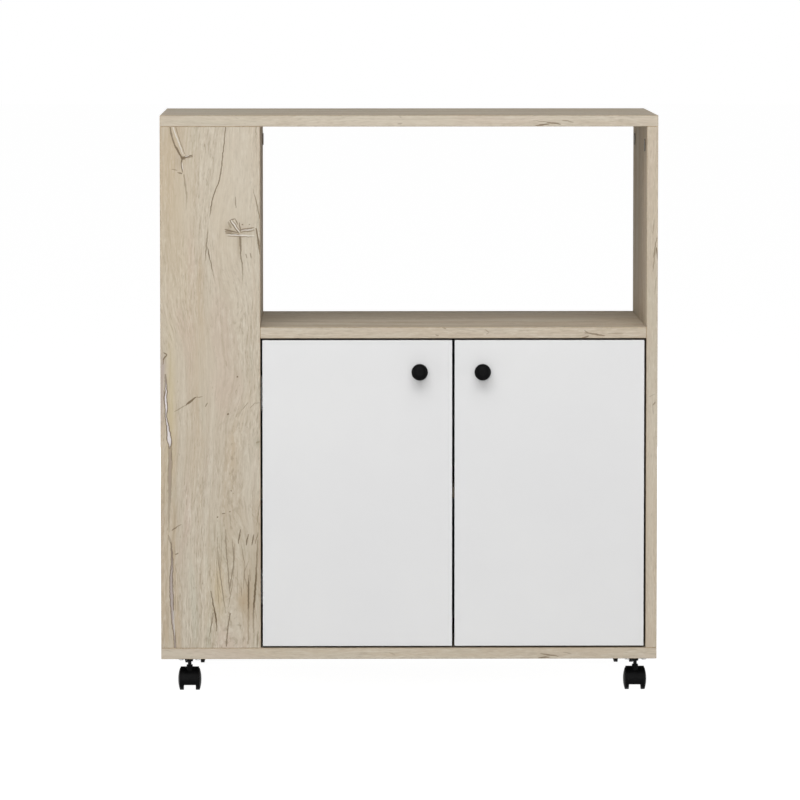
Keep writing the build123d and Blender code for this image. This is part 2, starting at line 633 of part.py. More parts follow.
for place in caster_screw_places:
    caster_plate -= rod(place - Z, Z, CASTER_PLATE_METAL + 2, SCREW_RADIUS + BORE_FIT)


def add_caster(name, x, y):
    at = Pos(x, y, 0)
    wheel_at = at * Pos(axle_at)
    add_fitting(name + "_caster_plate", at * caster_plate)
    add_fitting(name + "_caster_housing", at * housing)
    add_fitting(name + "_caster_axle", at * axle)
    add_fitting(name + "_caster_right_wheel", wheel_at * wheel)
    add_fitting(name + "_caster_left_wheel", wheel_at * Rot(0, 0, 180) * wheel)
    add_fitting("caster_kingpins", at * kingpin)
    for place in caster_screw_places:
        spot = Vector(x, y, 0) + place
        add_fitting("caster_screws", wood_screw(spot, Z))
        holes["bottom_panel"].append(screw_hole(spot, Z))


for row, y in (("front", y_front + CASTER_FROM_FRONT), ("rear", y_rear - CASTER_FROM_REAR)):
    add_caster(row + "_left", x_left + CASTER_FROM_LEFT, y)
    add_caster(row + "_right", x_right - CASTER_FROM_RIGHT, y)

# Cut every board's holes and write one file for each node
for name, board in boards.items():
    fittings[name] = [board - holes[name] if holes[name] else board]

os.makedirs("parts", exist_ok=True)
for name, solids in fittings.items():
    pieces = [solid for shape in solids for solid in shape.solids()]
    export_step(Compound(label=name, children=pieces), "parts/" + name + ".step")
print(len(fittings), "nodes")
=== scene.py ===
import bpy
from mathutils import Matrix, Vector


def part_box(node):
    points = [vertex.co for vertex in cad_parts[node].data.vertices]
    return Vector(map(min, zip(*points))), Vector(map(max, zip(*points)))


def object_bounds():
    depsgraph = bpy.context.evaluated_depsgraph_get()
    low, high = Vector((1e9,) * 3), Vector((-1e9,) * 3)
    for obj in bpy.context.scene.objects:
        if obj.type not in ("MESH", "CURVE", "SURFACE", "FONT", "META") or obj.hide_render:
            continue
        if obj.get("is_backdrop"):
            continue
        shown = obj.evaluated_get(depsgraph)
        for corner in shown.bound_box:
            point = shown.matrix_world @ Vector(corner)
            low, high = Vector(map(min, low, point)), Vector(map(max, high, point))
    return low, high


# The storage cabinet as it leaves the joiner's bench, put together from its packed
# boards and fittings. Every length here is in metres.
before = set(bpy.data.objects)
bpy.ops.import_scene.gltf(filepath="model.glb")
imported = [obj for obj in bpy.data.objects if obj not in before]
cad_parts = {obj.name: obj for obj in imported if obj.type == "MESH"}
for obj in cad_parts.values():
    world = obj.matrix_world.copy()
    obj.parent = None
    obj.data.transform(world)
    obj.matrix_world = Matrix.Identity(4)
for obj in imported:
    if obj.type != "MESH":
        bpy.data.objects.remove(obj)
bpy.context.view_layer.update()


# Top panel.
# The real board is chipboard faced with a paper that is printed with pale, limewashed
# oak. It is cut to size, edged all round with the same paper and drawn down by cams.
def feed(tree, socket, value):
    """Link a socket to another one, or set it where the value is a plain one."""
    if isinstance(value, bpy.types.NodeSocket):
        tree.links.new(value, socket)
    else:
        socket.default_value = value


def put(tree, kind, inputs=None, **settings):
    """Add a node with its settings, and feed its inputs."""
    made = tree.nodes.new(kind)
    for name, value in settings.items():
        setattr(made, name, value)
    for name, value in (inputs or {}).items():
        feed(tree, made.inputs[name], value)
    return made


def calc(tree, operation, *values):
    """The result of an operation on numbers."""
    made = put(tree, "ShaderNodeMath", operation=operation)
    for socket, value in zip(made.inputs, values):
        feed(tree, socket, value)
    return made.outputs[0]


def vcalc(tree, operation, *values, out="Vector"):
    """The result of an operation on directions or places."""
    made = put(tree, "ShaderNodeVectorMath", operation=operation)
    for socket, value in zip(made.inputs, values):
        feed(tree, socket, value)
    return made.outputs[out]


def held(tree, value):
    """A value kept between 0 and 1."""
    return calc(tree, "MAXIMUM", calc(tree, "MINIMUM", value, 1.0), 0.0)


def ease(tree, value, low, high, to_low=0.0, to_high=1.0):
    """A smooth step of a value, from one level to another."""
    made = put(
        tree,
        "ShaderNodeMapRange",
        {"Value": value, "From Min": low, "From Max": high, "To Min": to_low, "To Max": to_high},
        interpolation_type="SMOOTHSTEP",
        clamp=False,
    )
    return made.outputs["Result"]


def noise(tree, place, scale, detail=2.0, rough=0.5):
    """Noise whose grains have their own size along each axis."""
    stretched = vcalc(tree, "MULTIPLY", place, scale)
    made = put(
        tree,
        "ShaderNodeTexNoise",
        {"Vector": stretched, "Scale": 1.0, "Detail": detail, "Roughness": rough},
    )
    return made.outputs["Fac"]


def blended(tree, how_much, under, over):
    """One colour laid over another, from not at all at 0 to fully at 1."""
    made = put(tree, "ShaderNodeMix", {"Factor": how_much}, data_type="RGBA")
    first, second = [s for s in made.inputs if s.type == "RGBA"]
    feed(tree, first, under)
    feed(tree, second, over)
    return [s for s in made.outputs if s.type == "RGBA"][0]


def new_effect(name, takes, gives):
    """An empty node group with its sockets; returns the group, its inputs and its end node."""
    tree = bpy.data.node_groups.new(name, "ShaderNodeTree")
    kinds = {"F": "NodeSocketFloat", "V": "NodeSocketVector", "C": "NodeSocketColor"}
    for label, kind, value in takes:
        made = tree.interface.new_socket(label, in_out="INPUT", socket_type=kinds[kind])
        made.default_value = value
    for label, kind in gives:
        tree.interface.new_socket(label, in_out="OUTPUT", socket_type=kinds[kind])
    start = tree.nodes.new("NodeGroupInput")
    end = tree.nodes.new("NodeGroupOutput")
    return tree, start.outputs, end


def use_effect(tree, effect, inputs):
    """Put a shared effect to use, and return what it gives."""
    return put(tree, "ShaderNodeGroup", inputs, node_tree=effect).outputs


def new_finish(name):
    """An empty material with its Principled shader."""
    finish = bpy.data.materials.new(name)
    finish.use_nodes = True
    tree = finish.node_tree
    shader = next(n for n in tree.nodes if n.type == "BSDF_PRINCIPLED")
    return finish, tree, shader


def wear_finish(finish, *nodes):
    """Give a finish to every slot of the named pieces."""
    for node in nodes:
        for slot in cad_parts[node].material_slots:
            slot.material = finish


# How the print lies on a board: along and across its grain on the broad faces, and
# along the strip on the edges, as edging is glued on. The third number tells the faces
# apart. Edging is 1 on the narrow edges, and Bored is 1 on the round wall of a hole.
# A face counts as facing a way where more than this share of its normal points there.
FACING_SHARE = 0.7
laid, took, laid_end = new_effect(
    "print_laid_on_board",
    [
        ("Place", "V", (0, 0, 0)),
        ("Facing", "V", (0, 0, 1)),
        ("Grain", "V", (1, 0, 0)),
        ("Cross", "V", (0, 1, 0)),
        ("Thick", "V", (0, 0, 1)),
        ("Seed", "F", 0.0),
    ],
    [("Print Place", "V"), ("Edging", "F"), ("Bored", "F")],
)
faces = {}
for name in ("Grain", "Cross", "Thick"):
    at = vcalc(laid, "DOT_PRODUCT", took["Place"], took[name], out="Value")
    facing = calc(laid, "ABSOLUTE", vcalc(laid, "DOT_PRODUCT", took["Facing"], took[name], out="Value"))
    faces[name] = (at, facing)
end_face = calc(laid, "GREATER_THAN", faces["Grain"][1], FACING_SHARE)
broad_face = calc(laid, "GREATER_THAN", faces["Thick"][1], FACING_SHARE)
along = put(laid, "ShaderNodeMix", {0: end_face, 2: faces["Grain"][0], 3: faces["Cross"][0]}).outputs[0]
across = put(laid, "ShaderNodeMix", {0: broad_face, 2: faces["Thick"][0], 3: faces["Cross"][0]}).outputs[0]
which = vcalc(laid, "DOT_PRODUCT", took["Facing"], (1.3, 2.1, 3.7), out="Value")
which = calc(laid, "ADD", calc(laid, "SNAP", which, 0.1), calc(laid, "MULTIPLY", took["Seed"], 11.0))
spread = put(laid, "ShaderNodeCombineXYZ", {"X": along, "Y": across, "Z": which}).outputs["Vector"]
laid.links.new(spread, laid_end.inputs["Print Place"])
laid.links.new(calc(laid, "SUBTRACT", 1.0, broad_face), laid_end.inputs["Edging"])
square = calc(laid, "MAXIMUM", calc(laid, "MAXIMUM", faces["Grain"][1], faces["Cross"][1]), faces["Thick"][1])
laid.links.new(ease(laid, square, 0.975, 0.995, 1.0, 0.0), laid_end.inputs["Bored"])

# Knots and drying checks, scattered by chance: a small dark knot now and then, with a
# crack that runs from it along the grain and is sometimes filled with pale putty. Bowed
# is the print's place, bent so that the growth lines flow round the knot.
KNOT_SPOTS_ALONG = 3.6  # places for a knot in a metre along the grain
KNOT_SPOTS_ACROSS = 9.0  # and in a metre across it
knots, took, knots_end = new_effect(
    "scattered_knots",
    [("Place", "V", (0, 0, 0)), ("Amount", "F", 0.5)],
    [("Bowed", "V"), ("Dark", "F"), ("Filled", "F")],
)
axis = put(knots, "ShaderNodeSeparateXYZ", {"Vector": took["Place"]}).outputs
lengthwise = calc(knots, "MULTIPLY", axis["X"], KNOT_SPOTS_ALONG)
lengthwise = calc(knots, "ADD", lengthwise, calc(knots, "MULTIPLY", axis["Z"], 0.73))
sideways = calc(knots, "MULTIPLY", axis["Y"], KNOT_SPOTS_ACROSS)
sideways = calc(knots, "ADD", sideways, calc(knots, "MULTIPLY", axis["Z"], 1.91))
flat = put(knots, "ShaderNodeCombineXYZ", {"X": lengthwise, "Y": sideways}).outputs["Vector"]
cell = put(
    knots,
    "ShaderNodeTexVoronoi",
    {"Vector": flat, "Scale": 1.0, "Randomness": 0.85},
    voronoi_dimensions="2D",
)
from_spot = vcalc(knots, "SUBTRACT", flat, cell.outputs["Position"])
off = put(knots, "ShaderNodeSeparateXYZ", {"Vector": from_spot}).outputs
chance = put(knots, "ShaderNodeSeparateColor", {"Color": cell.outputs["Color"]}).outputs
here = calc(knots, "LESS_THAN", chance["Red"], took["Amount"])
run = calc(knots, "DIVIDE", off["X"], KNOT_SPOTS_ALONG)
wander = calc(knots, "SUBTRACT", noise(knots, took["Place"], (26.0, 0.0, 1.0), 3.0, 0.6), 0.5)
side = calc(knots, "DIVIDE", off["Y"], KNOT_SPOTS_ACROSS)
side = calc(knots, "ADD", side, calc(knots, "MULTIPLY", wander, 0.007))
reach = calc(knots, "ADD", calc(knots, "MULTIPLY", chance["Blue"], 0.075), 0.012)
passed = calc(knots, "DIVIDE", calc(knots, "ABSOLUTE", run), reach)
left_over = held(knots, calc(knots, "SUBTRACT", 1.0, passed))
widest = calc(knots, "ADD", calc(knots, "MULTIPLY", chance["Green"], 0.0016), 0.0004)
half = calc(knots, "MULTIPLY", left_over, widest)
beside = calc(knots, "DIVIDE", calc(knots, "ABSOLUTE", side), calc(knots, "ADD", half, 0.0001))
crack = ease(knots, beside, 0.6, 1.5, 1.0, 0.0)
crack = calc(knots, "MULTIPLY", crack, calc(knots, "GREATER_THAN", left_over, 0.001))
heart = calc(knots, "GREATER_THAN", chance["Green"], 0.62)
filled = ease(knots, beside, 0.35, 0.6, 1.0, 0.0)
filled = calc(knots, "MULTIPLY", calc(knots, "MULTIPLY", filled, heart), left_over)
size = calc(knots, "ADD", calc(knots, "MULTIPLY", chance["Green"], 0.0032), 0.0009)
shortened = calc(knots, "MULTIPLY", run, 0.6)
round_off = put(knots, "ShaderNodeCombineXYZ", {"X": shortened, "Y": side}).outputs["Vector"]
from_knot = vcalc(knots, "LENGTH", round_off, out="Value")
bites = noise(knots, took["Place"], (420.0, 420.0, 1.0), 2.0)
bitten = calc(knots, "MULTIPLY", size, calc(knots, "ADD", bites, 0.35))
knot = ease(knots, calc(knots, "DIVIDE", from_knot, bitten), 0.7, 1.3, 1.0, 0.0)
dark = calc(knots, "MULTIPLY", calc(knots, "MAXIMUM", calc(knots, "MULTIPLY", crack, 0.85), knot), here)
knots.links.new(dark, knots_end.inputs["Dark"])
knots.links.new(calc(knots, "MULTIPLY", filled, here), knots_end.inputs["Filled"])
wide = calc(knots, "DIVIDE", side, 0.019)
fall = calc(knots, "MULTIPLY", wide, wide)
fall = calc(knots, "ADD", fall, calc(knots, "POWER", calc(knots, "DIVIDE", run, 0.055), 2.0))
push = calc(knots, "MULTIPLY", wide, calc(knots, "EXPONENT", calc(knots, "MULTIPLY", fall, -0.5)))
push = calc(knots, "MULTIPLY", push, here)
push = calc(knots, "MULTIPLY", push, calc(knots, "MULTIPLY", chance["Green"], -0.016))
bend = put(knots, "ShaderNodeCombineXYZ", {"Y": push}).outputs["Vector"]
knots.links.new(vcalc(knots, "ADD", took["Place"], bend), knots_end.inputs["Bowed"])

# The print's own figure: broad bands of grey, tan and limed oak, streaks and fibres
# along the grain, thin growth lines, and the short dark dashes of the pores.
oak, took, oak_end = new_effect(
    "limed_oak_print",
    [("Place", "V", (0, 0, 0))],
    [("Color", "C"), ("Pores", "F"), ("Roughness", "F")],
)
place = took["Place"]
sway = calc(oak, "SUBTRACT", noise(oak, place, (3.0, 5.0, 1.0), 1.5), 0.5)
ripple = calc(oak, "SUBTRACT", noise(oak, place, (24.0, 40.0, 1.0), 2.0), 0.5)
slide = calc(oak, "ADD", calc(oak, "MULTIPLY", sway, 0.042), calc(oak, "MULTIPLY", ripple, 0.0040))
bent = vcalc(oak, "ADD", place, put(oak, "ShaderNodeCombineXYZ", {"Y": slide}).outputs["Vector"])
tone = put(oak, "ShaderNodeValToRGB", {"Fac": noise(oak, bent, (2.3, 24.0, 1.0), 3.0, 0.55)})
ramp = tone.color_ramp
ramp.elements[0].position = 0.30
ramp.elements[0].color = (0.470, 0.388, 0.295, 1)
ramp.elements[1].position = 0.70
ramp.elements[1].color = (0.590, 0.528, 0.430, 1)
for at, shade in (
    (0.42, (0.510, 0.418, 0.305, 1)),
    (0.52, (0.530, 0.462, 0.365, 1)),
    (0.61, (0.555, 0.492, 0.395, 1)),
):
    ramp.elements.new(at).color = shade
colour = tone.outputs["Color"]
patch = noise(oak, place, (2.4, 15.0, 1.7), 2.0)
colour = blended(oak, ease(oak, patch, 0.50, 0.70, 0.0, 0.45), colour, (0.535, 0.440, 0.315, 1))
blush = noise(oak, bent, (7.0, 34.0, 2.9), 2.0)
colour = blended(oak, ease(oak, blush, 0.55, 0.72, 0.0, 0.45), colour, (0.575, 0.450, 0.375, 1))
colour = blended(oak, ease(oak, blush, 0.45, 0.28, 0.0, 0.45), colour, (0.490, 0.480, 0.385, 1))
streak = noise(oak, bent, (5.0, 120.0, 1.0), 3.0, 0.6)
colour = blended(oak, ease(oak, streak, 0.47, 0.68, 0.0, 0.28), colour, (0.395, 0.318, 0.232, 1))
colour = blended(oak, ease(oak, streak, 0.50, 0.30, 0.0, 0.30), colour, (0.640, 0.590, 0.495, 1))
fibre = noise(oak, bent, (13.0, 560.0, 1.0), 3.0, 0.65)
colour = blended(oak, ease(oak, fibre, 0.50, 0.72, 0.0, 0.42), colour, (0.370, 0.300, 0.220, 1))
colour = blended(oak, ease(oak, fibre, 0.48, 0.28, 0.0, 0.38), colour, (0.665, 0.615, 0.520, 1))
rings = noise(oak, bent, (1.8, 52.0, 1.3), 1.0, 0.4)
rings = calc(oak, "ABSOLUTE", calc(oak, "SINE", calc(oak, "MULTIPLY", rings, 26.0)))
rings = calc(oak, "SUBTRACT", 1.0, ease(oak, rings, 0.0, 0.24))
faint = ease(oak, noise(oak, place, (9.0, 22.0, 2.3), 2.0), 0.40, 0.66)
rings = calc(oak, "MULTIPLY", calc(oak, "MULTIPLY", rings, faint), 0.28)
colour = blended(oak, rings, colour, (0.330, 0.262, 0.180, 1))
dashes = noise(oak, bent, (85.0, 540.0, 1.0), 2.0, 0.55)
busy = ease(oak, noise(oak, place, (6.0, 19.0, 3.1), 2.0), 0.36, 0.62, 0.35, 1.0)
dark_dash = calc(oak, "MULTIPLY", ease(oak, dashes, 0.54, 0.68), busy)
colour = blended(oak, calc(oak, "MULTIPLY", dark_dash, 0.62), colour, (0.315, 0.258, 0.188, 1))
pale_dash = calc(oak, "MULTIPLY", ease(oak, dashes, 0.47, 0.33), busy)
colour = blended(oak, calc(oak, "MULTIPLY", pale_dash, 0.50), colour, (0.700, 0.660, 0.570, 1))
pores = ease(oak, noise(oak, bent, (70.0, 1100.0, 1.0), 2.0, 0.6), 0.60, 0.74)
colour = blended(oak, calc(oak, "MULTIPLY", pores, 0.34), colour, (0.270, 0.215, 0.150, 1))
ticks = ease(oak, noise(oak, bent, (110.0, 420.0, 1.0), 1.0, 0.5), 0.70, 0.80)
colour = blended(oak, calc(oak, "MULTIPLY", ticks, 0.45), colour, (0.250, 0.195, 0.130, 1))
oak.links.new(colour, oak_end.inputs["Color"])
oak.links.new(calc(oak, "MAXIMUM", pores, ticks), oak_end.inputs["Pores"])
oak.links.new(ease(oak, streak, 0.3, 0.7, 0.62, 0.74), oak_end.inputs["Roughness"])

# Edge mask for painted edge light: 1 along a board's edges, 0 on its faces.
edges, took, edges_end = new_effect(
    "painted_edge_light_mask",
    [
        ("Place", "V", (0, 0, 0)),
        ("Middle", "V", (0, 0, 0)),
        ("Half Size", "V", (1, 1, 1)),
        ("Reach", "F", 0.0016),
    ],
    [("Edge", "F")],
)
from_middle = vcalc(edges, "ABSOLUTE", vcalc(edges, "SUBTRACT", took["Place"], took["Middle"]))
inside = vcalc(edges, "SUBTRACT", took["Half Size"], from_middle)
part = put(edges, "ShaderNodeSeparateXYZ", {"Vector": inside}).outputs
lesser = calc(edges, "MINIMUM", part["X"], part["Y"])
greater = calc(edges, "MAXIMUM", part["X"], part["Y"])
second = calc(edges, "MAXIMUM", lesser, calc(edges, "MINIMUM", greater, part["Z"]))
ragged = noise(edges, took["Place"], (160.0, 160.0, 160.0), 2.0)
reach = calc(edges, "MULTIPLY", took["Reach"], calc(edges, "ADD", ragged, 0.3))
near = calc(edges, "DIVIDE", second, reach)
edges.links.new(ease(edges, near, 0.2, 1.0, 1.0, 0.0), edges_end.inputs["Edge"])

# Drawn marks: one tapered stroke, in millimetres on the face that it lies on. Wedge is
# 0 where both ends are pointed, and 1 where only the far one is.
stroke, took, stroke_end = new_effect(
    "tapered_mark",
    [
        ("Spot", "V", (0, 0, 0)),
        ("From", "V", (0, 0, 0)),
        ("To", "V", (1, 0, 0)),
        ("Half Width", "F", 0.6),
        ("Strength", "F", 1.0),
        ("Wedge", "F", 0.0),
    ],
    [("Mark", "F")],
)
leg = vcalc(stroke, "SUBTRACT", took["To"], took["From"])
arm = vcalc(stroke, "SUBTRACT", took["Spot"], took["From"])
forward = vcalc(stroke, "DOT_PRODUCT", arm, leg, out="Value")
share = held(stroke, calc(stroke, "DIVIDE", forward, vcalc(stroke, "DOT_PRODUCT", leg, leg, out="Value")))
foot = vcalc(stroke, "SCALE", leg)
stroke.links.new(share, foot.node.inputs["Scale"])
away = vcalc(stroke, "LENGTH", vcalc(stroke, "SUBTRACT", arm, foot), out="Value")
rest_of = calc(stroke, "SUBTRACT", 1.0, share)
lens_shape = calc(stroke, "SQRT", calc(stroke, "MULTIPLY", calc(stroke, "MULTIPLY", share, rest_of), 4.0))
shape = put(stroke, "ShaderNodeMix", {0: took["Wedge"], 2: lens_shape, 3: rest_of}).outputs[0]
half = calc(stroke, "MULTIPLY", took["Half Width"], calc(stroke, "ADD", shape, 0.15))
mark = ease(stroke, calc(stroke, "DIVIDE", away, half), 0.55, 1.35, 1.0, 0.0)
stroke.links.new(calc(stroke, "MULTIPLY", mark, took["Strength"]), stroke_end.inputs["Mark"])


def drawn(tree, spot, marks):
    """The strongest of a list of strokes: (across, down, across, down, half width, strength, wedge)."""
    strongest = None
    for x0, y0, x1, y1, half_width, strength, wedge in marks:
        mark = use_effect(
            tree,
            stroke,
            {
                "Spot": spot,
                "From": (x0, y0, 0),
                "To": (x1, y1, 0),
                "Half Width": half_width,
                "Strength": strength,
                "Wedge": wedge,
            },
        )["Mark"]
        strongest = mark if strongest is None else calc(tree, "MAXIMUM", strongest, mark)
    return strongest


MM = 1000.0  # millimetres in a metre
SHAKE = 2.4  # the span over which a drawn mark may stray, in millimetres


def face_spot(tree, coords, corner, on_top):
    """Millimetres from a face's corner, a little shaken.

    They run right and down on the front, and right and back on the top.
    """
    out = vcalc(tree, "MULTIPLY", vcalc(tree, "SUBTRACT", coords, corner), (MM, MM, -MM))
    part = put(tree, "ShaderNodeSeparateXYZ", {"Vector": out}).outputs
    second = part["Y" if on_top else "Z"]
    spot = put(tree, "ShaderNodeCombineXYZ", {"X": part["X"], "Y": second}).outputs["Vector"]
    jolt = put(tree, "ShaderNodeTexNoise", {"Vector": spot, "Scale": 0.16, "Detail": 3.0}).outputs["Color"]
    jolt = vcalc(tree, "MULTIPLY", vcalc(tree, "SUBTRACT", jolt, (0.5, 0.5, 0.5)), (SHAKE, SHAKE, 0.0))
    return vcalc(tree, "ADD", spot, jolt)


# The direction of each axis, and the colours of cracks, putty, edging, bare chipboard
# and the painted shade along the edges.
AXES = {"x": (1, 0, 0), "y": (0, 1, 0), "z": (0, 0, 1)}
CRACK = (0.185, 0.137, 0.086, 1)
PUTTY = (0.680, 0.645, 0.590, 1)
STRIP = (0.572, 0.505, 0.408, 1)
DARK_CHIPS = (0.33, 0.22, 0.12, 1)
PALE_CHIPS = (0.55, 0.42, 0.27, 1)
PAINTED_EDGE_SHADE = (0.34, 0.28, 0.20, 1)


def oak_board(node, grain, thick, seed, knotty=0.3, front_marks=None, top_marks=None, dress=None, bow=None):
    """Dress one oak-faced board, with its own marks on the front and top where it has some.

    Dress draws all of a front in another way, and bow bends its growth lines.
    """
    finish, tree, shader = new_finish("limed_oak_" + node)
    where = put(tree, "ShaderNodeTexCoord").outputs
    coords = where["Object"]
    low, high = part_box(node)
    cross = ({"x", "y", "z"} - {grain, thick}).pop()
    ways = {"Grain": AXES[grain], "Cross": AXES[cross], "Thick": AXES[thick], "Seed": seed}
    spread = use_effect(tree, laid, {"Place": coords, "Facing": where["Normal"], **ways})
    amount = calc(tree, "MULTIPLY", calc(tree, "SUBTRACT", 1.0, spread["Edging"]), knotty)
    figure = use_effect(tree, knots, {"Place": spread["Print Place"], "Amount": amount})
    spot = face_spot(tree, coords, (low.x, 0.0, high.z), on_top=False)
    bowed = vcalc(tree, "ADD", figure["Bowed"], bow(tree, spot)) if bow else figure["Bowed"]
    wood = use_effect(tree, oak, {"Place": bowed})
    colour = blended(tree, calc(tree, "MULTIPLY", spread["Edging"], 0.45), wood["Color"], STRIP)
    colour = blended(tree, calc(tree, "MULTIPLY", figure["Dark"], 0.8), colour, CRACK)
    colour = blended(tree, figure["Filled"], colour, PUTTY)
    relief = calc(tree, "MAXIMUM", wood["Pores"], figure["Dark"])
    if front_marks or dress:
        facing = put(tree, "ShaderNodeSeparateXYZ", {"Vector": where["Normal"]}).outputs["Y"]
        front = calc(tree, "LESS_THAN", facing, -FACING_SHARE)
        if dress:
            colour, relief = dress(tree, spot, front, colour, relief)
        else:
            mark = calc(tree, "MULTIPLY", drawn(tree, spot, front_marks), front)
            colour = blended(tree, mark, colour, CRACK)
            relief = calc(tree, "MAXIMUM", relief, mark)
    if top_marks:
        upward = put(tree, "ShaderNodeSeparateXYZ", {"Vector": where["Normal"]}).outputs["Z"]
        above = face_spot(tree, coords, (low.x, low.y, 0.0), on_top=True)
        mark = drawn(tree, above, top_marks)
        mark = calc(tree, "MULTIPLY", mark, calc(tree, "GREATER_THAN", upward, FACING_SHARE))
        colour = blended(tree, mark, colour, CRACK)
    chips = noise(tree, coords, (420.0, 420.0, 420.0), 2.0)
    core = blended(tree, ease(tree, chips, 0.35, 0.65), DARK_CHIPS, PALE_CHIPS)
    colour = blended(tree, spread["Bored"], colour, core)
    painted_edge_light = use_effect(
        tree, edges, {"Place": coords, "Middle": (low + high) / 2, "Half Size": (high - low) / 2}
    )["Edge"]
    # A darker line along every edge is painted shade, standing in for the shading of rounded edges and joint
    # lines.
    colour = blended(tree, calc(tree, "MULTIPLY", painted_edge_light, 0.30), colour, PAINTED_EDGE_SHADE)
    rough = calc(tree, "ADD", wood["Roughness"], calc(tree, "MULTIPLY", painted_edge_light, 0.12))
    bump = put(tree, "ShaderNodeBump", {"Height": relief, "Strength": 0.25, "Distance": 0.0002}, invert=True)
    tree.links.new(colour, shader.inputs["Base Color"])
    tree.links.new(rough, shader.inputs["Roughness"])
    tree.links.new(bump.outputs["Normal"], shader.inputs["Normal"])
    shader.inputs["Specular IOR Level"].default_value = 0.06
    wear_finish(finish, node)


# Its front edge has a small forked check towards the right, with fainter ones by it.
oak_board(
    "top_panel",
    "x",
    "z",
    0.13,
    front_marks=[
        (503.0, 6.9, 536.0, 10.6, 0.5, 0.45, 0.0),
        (521.0, 9.4, 541.0, 11.8, 0.8, 0.75, 0.0),
        (507.0, 13.7, 525.0, 11.4, 0.9, 0.85, 0.0),
        (542.0, 6.9, 558.0, 9.1, 0.7, 0.50, 0.0),
        (320.0, 11.6, 327.0, 10.8, 0.9, 0.35, 0.0),
        (322.5, 1.2, 326.0, 3.0, 0.7, 0.35, 0.0),
    ],
)

# Bottom panel.
# It is the same board as the top, and carries the upright boards, the cupboard's
# contents and the four casters, which are screwed to its underside.
oak_board(
    "bottom_panel",
    "x",
    "z",
    0.71,
    front_marks=[
        (511.0, 13.9, 527.0, 12.4, 0.9, 0.85, 0.0),
        (514.0, 8.2, 539.0, 11.8, 0.8, 0.70, 0.0),
        (545.0, 6.6, 557.0, 8.4, 0.6, 0.40, 0.0),
        (309.0, 6.0, 317.0, 9.4, 0.7, 0.35, 0.0),
    ],
)

# Right side panel.
# This upright board stands on the bottom panel. Cams bored into its inner face draw it
# to the top and the bottom, and the right door's hinges are screwed to it.
oak_board(
    "right_side_panel",
    "z",
    "x",
    1.37,
    front_marks=[
        (13.2, 163.0, 15.2, 181.0, 1.0, 0.90, 0.0),
        (13.1, 150.0, 9.3, 177.0, 0.7, 0.70, 0.0),
        (12.0, 164.0, 8.1, 196.0, 0.6, 0.60, 0.0),
        (9.6, 125.0, 8.3, 146.0, 0.7, 0.40, 0.0),
        (13.1, 203.0, 10.7, 227.0, 0.6, 0.35, 0.0),
        (12.6, 372.5, 8.7, 377.0, 0.8, 0.60, 0.0),
        (8.9, 377.0, 9.9, 390.0, 0.5, 0.35, 0.0),
        (12.0, 362.0, 3.0, 366.0, 0.6, 0.30, 0.0),
    ],
)

# Left front panel.
# The tall, narrow board at the front left closes the side bay. Its print has the
# showiest marks: a putty-filled crack down one edge, a star knot and fine drying checks.
check, took, check_end = new_effect(
    "long_drying_check",
    [("Side", "F", 0.0), ("Half Width", "F", 1.0), ("Strength", "F", 1.0), ("Rim", "F", 0.6)],
    [("Rims", "F"), ("Inside", "F")],
)
beside = calc(check, "ABSOLUTE", took["Side"])
over = calc(check, "SUBTRACT", beside, took["Half Width"])
rims = ease(check, calc(check, "DIVIDE", over, took["Rim"]), 0.5, 1.5, 1.0, 0.0)
fill = ease(check, calc(check, "DIVIDE", over, took["Rim"]), -1.6, -0.4, 1.0, 0.0)
check.links.new(calc(check, "MULTIPLY", rims, took["Strength"]), check_end.inputs["Rims"])
check.links.new(calc(check, "MULTIPLY", fill, took["Strength"]), check_end.inputs["Inside"])

# The widths that a check's curves are drawn against, in millimetres: the panel's own, and
# a half width that no check comes up to.
PANEL_WIDTH = 135.0
WIDE_CHECK = 5.0


def drying_check(tree, spot, path, rim):
    """A crack that follows (down, across, half width, strength), in millimetres."""
    part = put(tree, "ShaderNodeSeparateXYZ", {"Vector": spot}).outputs
    first, last = path[0][0], path[-1][0]
    share = calc(tree, "DIVIDE", calc(tree, "SUBTRACT", part["Y"], first), last - first)
    three = put(tree, "ShaderNodeCombineColor", {"Red": share, "Green": share, "Blue": share})
    bends = put(tree, "ShaderNodeRGBCurve", {"Color": three.outputs["Color"]})
    for curve, column, scale in zip(bends.mapping.curves, (1, 2, 3), (PANEL_WIDTH, WIDE_CHECK, 1.0)):
        stops = [((row[0] - first) / (last - first), row[column] / scale) for row in path]
        curve.points[0].location = stops[0]
        curve.points[1].location = stops[-1]
        for stop in stops[1:-1]:
            curve.points.new(*stop)
        for point in curve.points:
            point.handle_type = "AUTO_CLAMPED"
    bends.mapping.update()
    level = put(tree, "ShaderNodeSeparateColor", {"Color": bends.outputs["Color"]}).outputs
    side = calc(tree, "SUBTRACT", part["X"], calc(tree, "MULTIPLY", level["Red"], PANEL_WIDTH))
    within = calc(tree, "LESS_THAN", calc(tree, "ABSOLUTE", calc(tree, "SUBTRACT", share, 0.5)), 0.5)
    found = use_effect(
        tree,
        check,
        {
            "Side": side,
            "Half Width": calc(tree, "MULTIPLY", level["Green"], WIDE_CHECK),
            "Strength": calc(tree, "MULTIPLY", level["Blue"], within),
            "Rim": rim,
        },
    )
    return found["Rims"], found["Inside"]


def growth_flow(tree, spot):
    """How the print's growth lines lean on the tall panel, as a shift across the grain."""
    lean = None
    for middle, size, shift in LEANS:
        off = vcalc(tree, "DIVIDE", vcalc(tree, "SUBTRACT", spot, (*middle, 0)), (*size, 1))
        part = put(tree, "ShaderNodeSeparateXYZ", {"Vector": off}).outputs
        beside = calc(tree, "MULTIPLY", part["X"], part["X"])
        beside = calc(tree, "EXPONENT", calc(tree, "MULTIPLY", beside, -1.0))
        down = ease(tree, part["Y"], -1.0, 1.0, 0.0, shift)
        step = calc(tree, "MULTIPLY", beside, down)
        lean = step if lean is None else calc(tree, "ADD", lean, step)
    return put(tree, "ShaderNodeCombineXYZ", {"Y": lean}).outputs["Vector"]


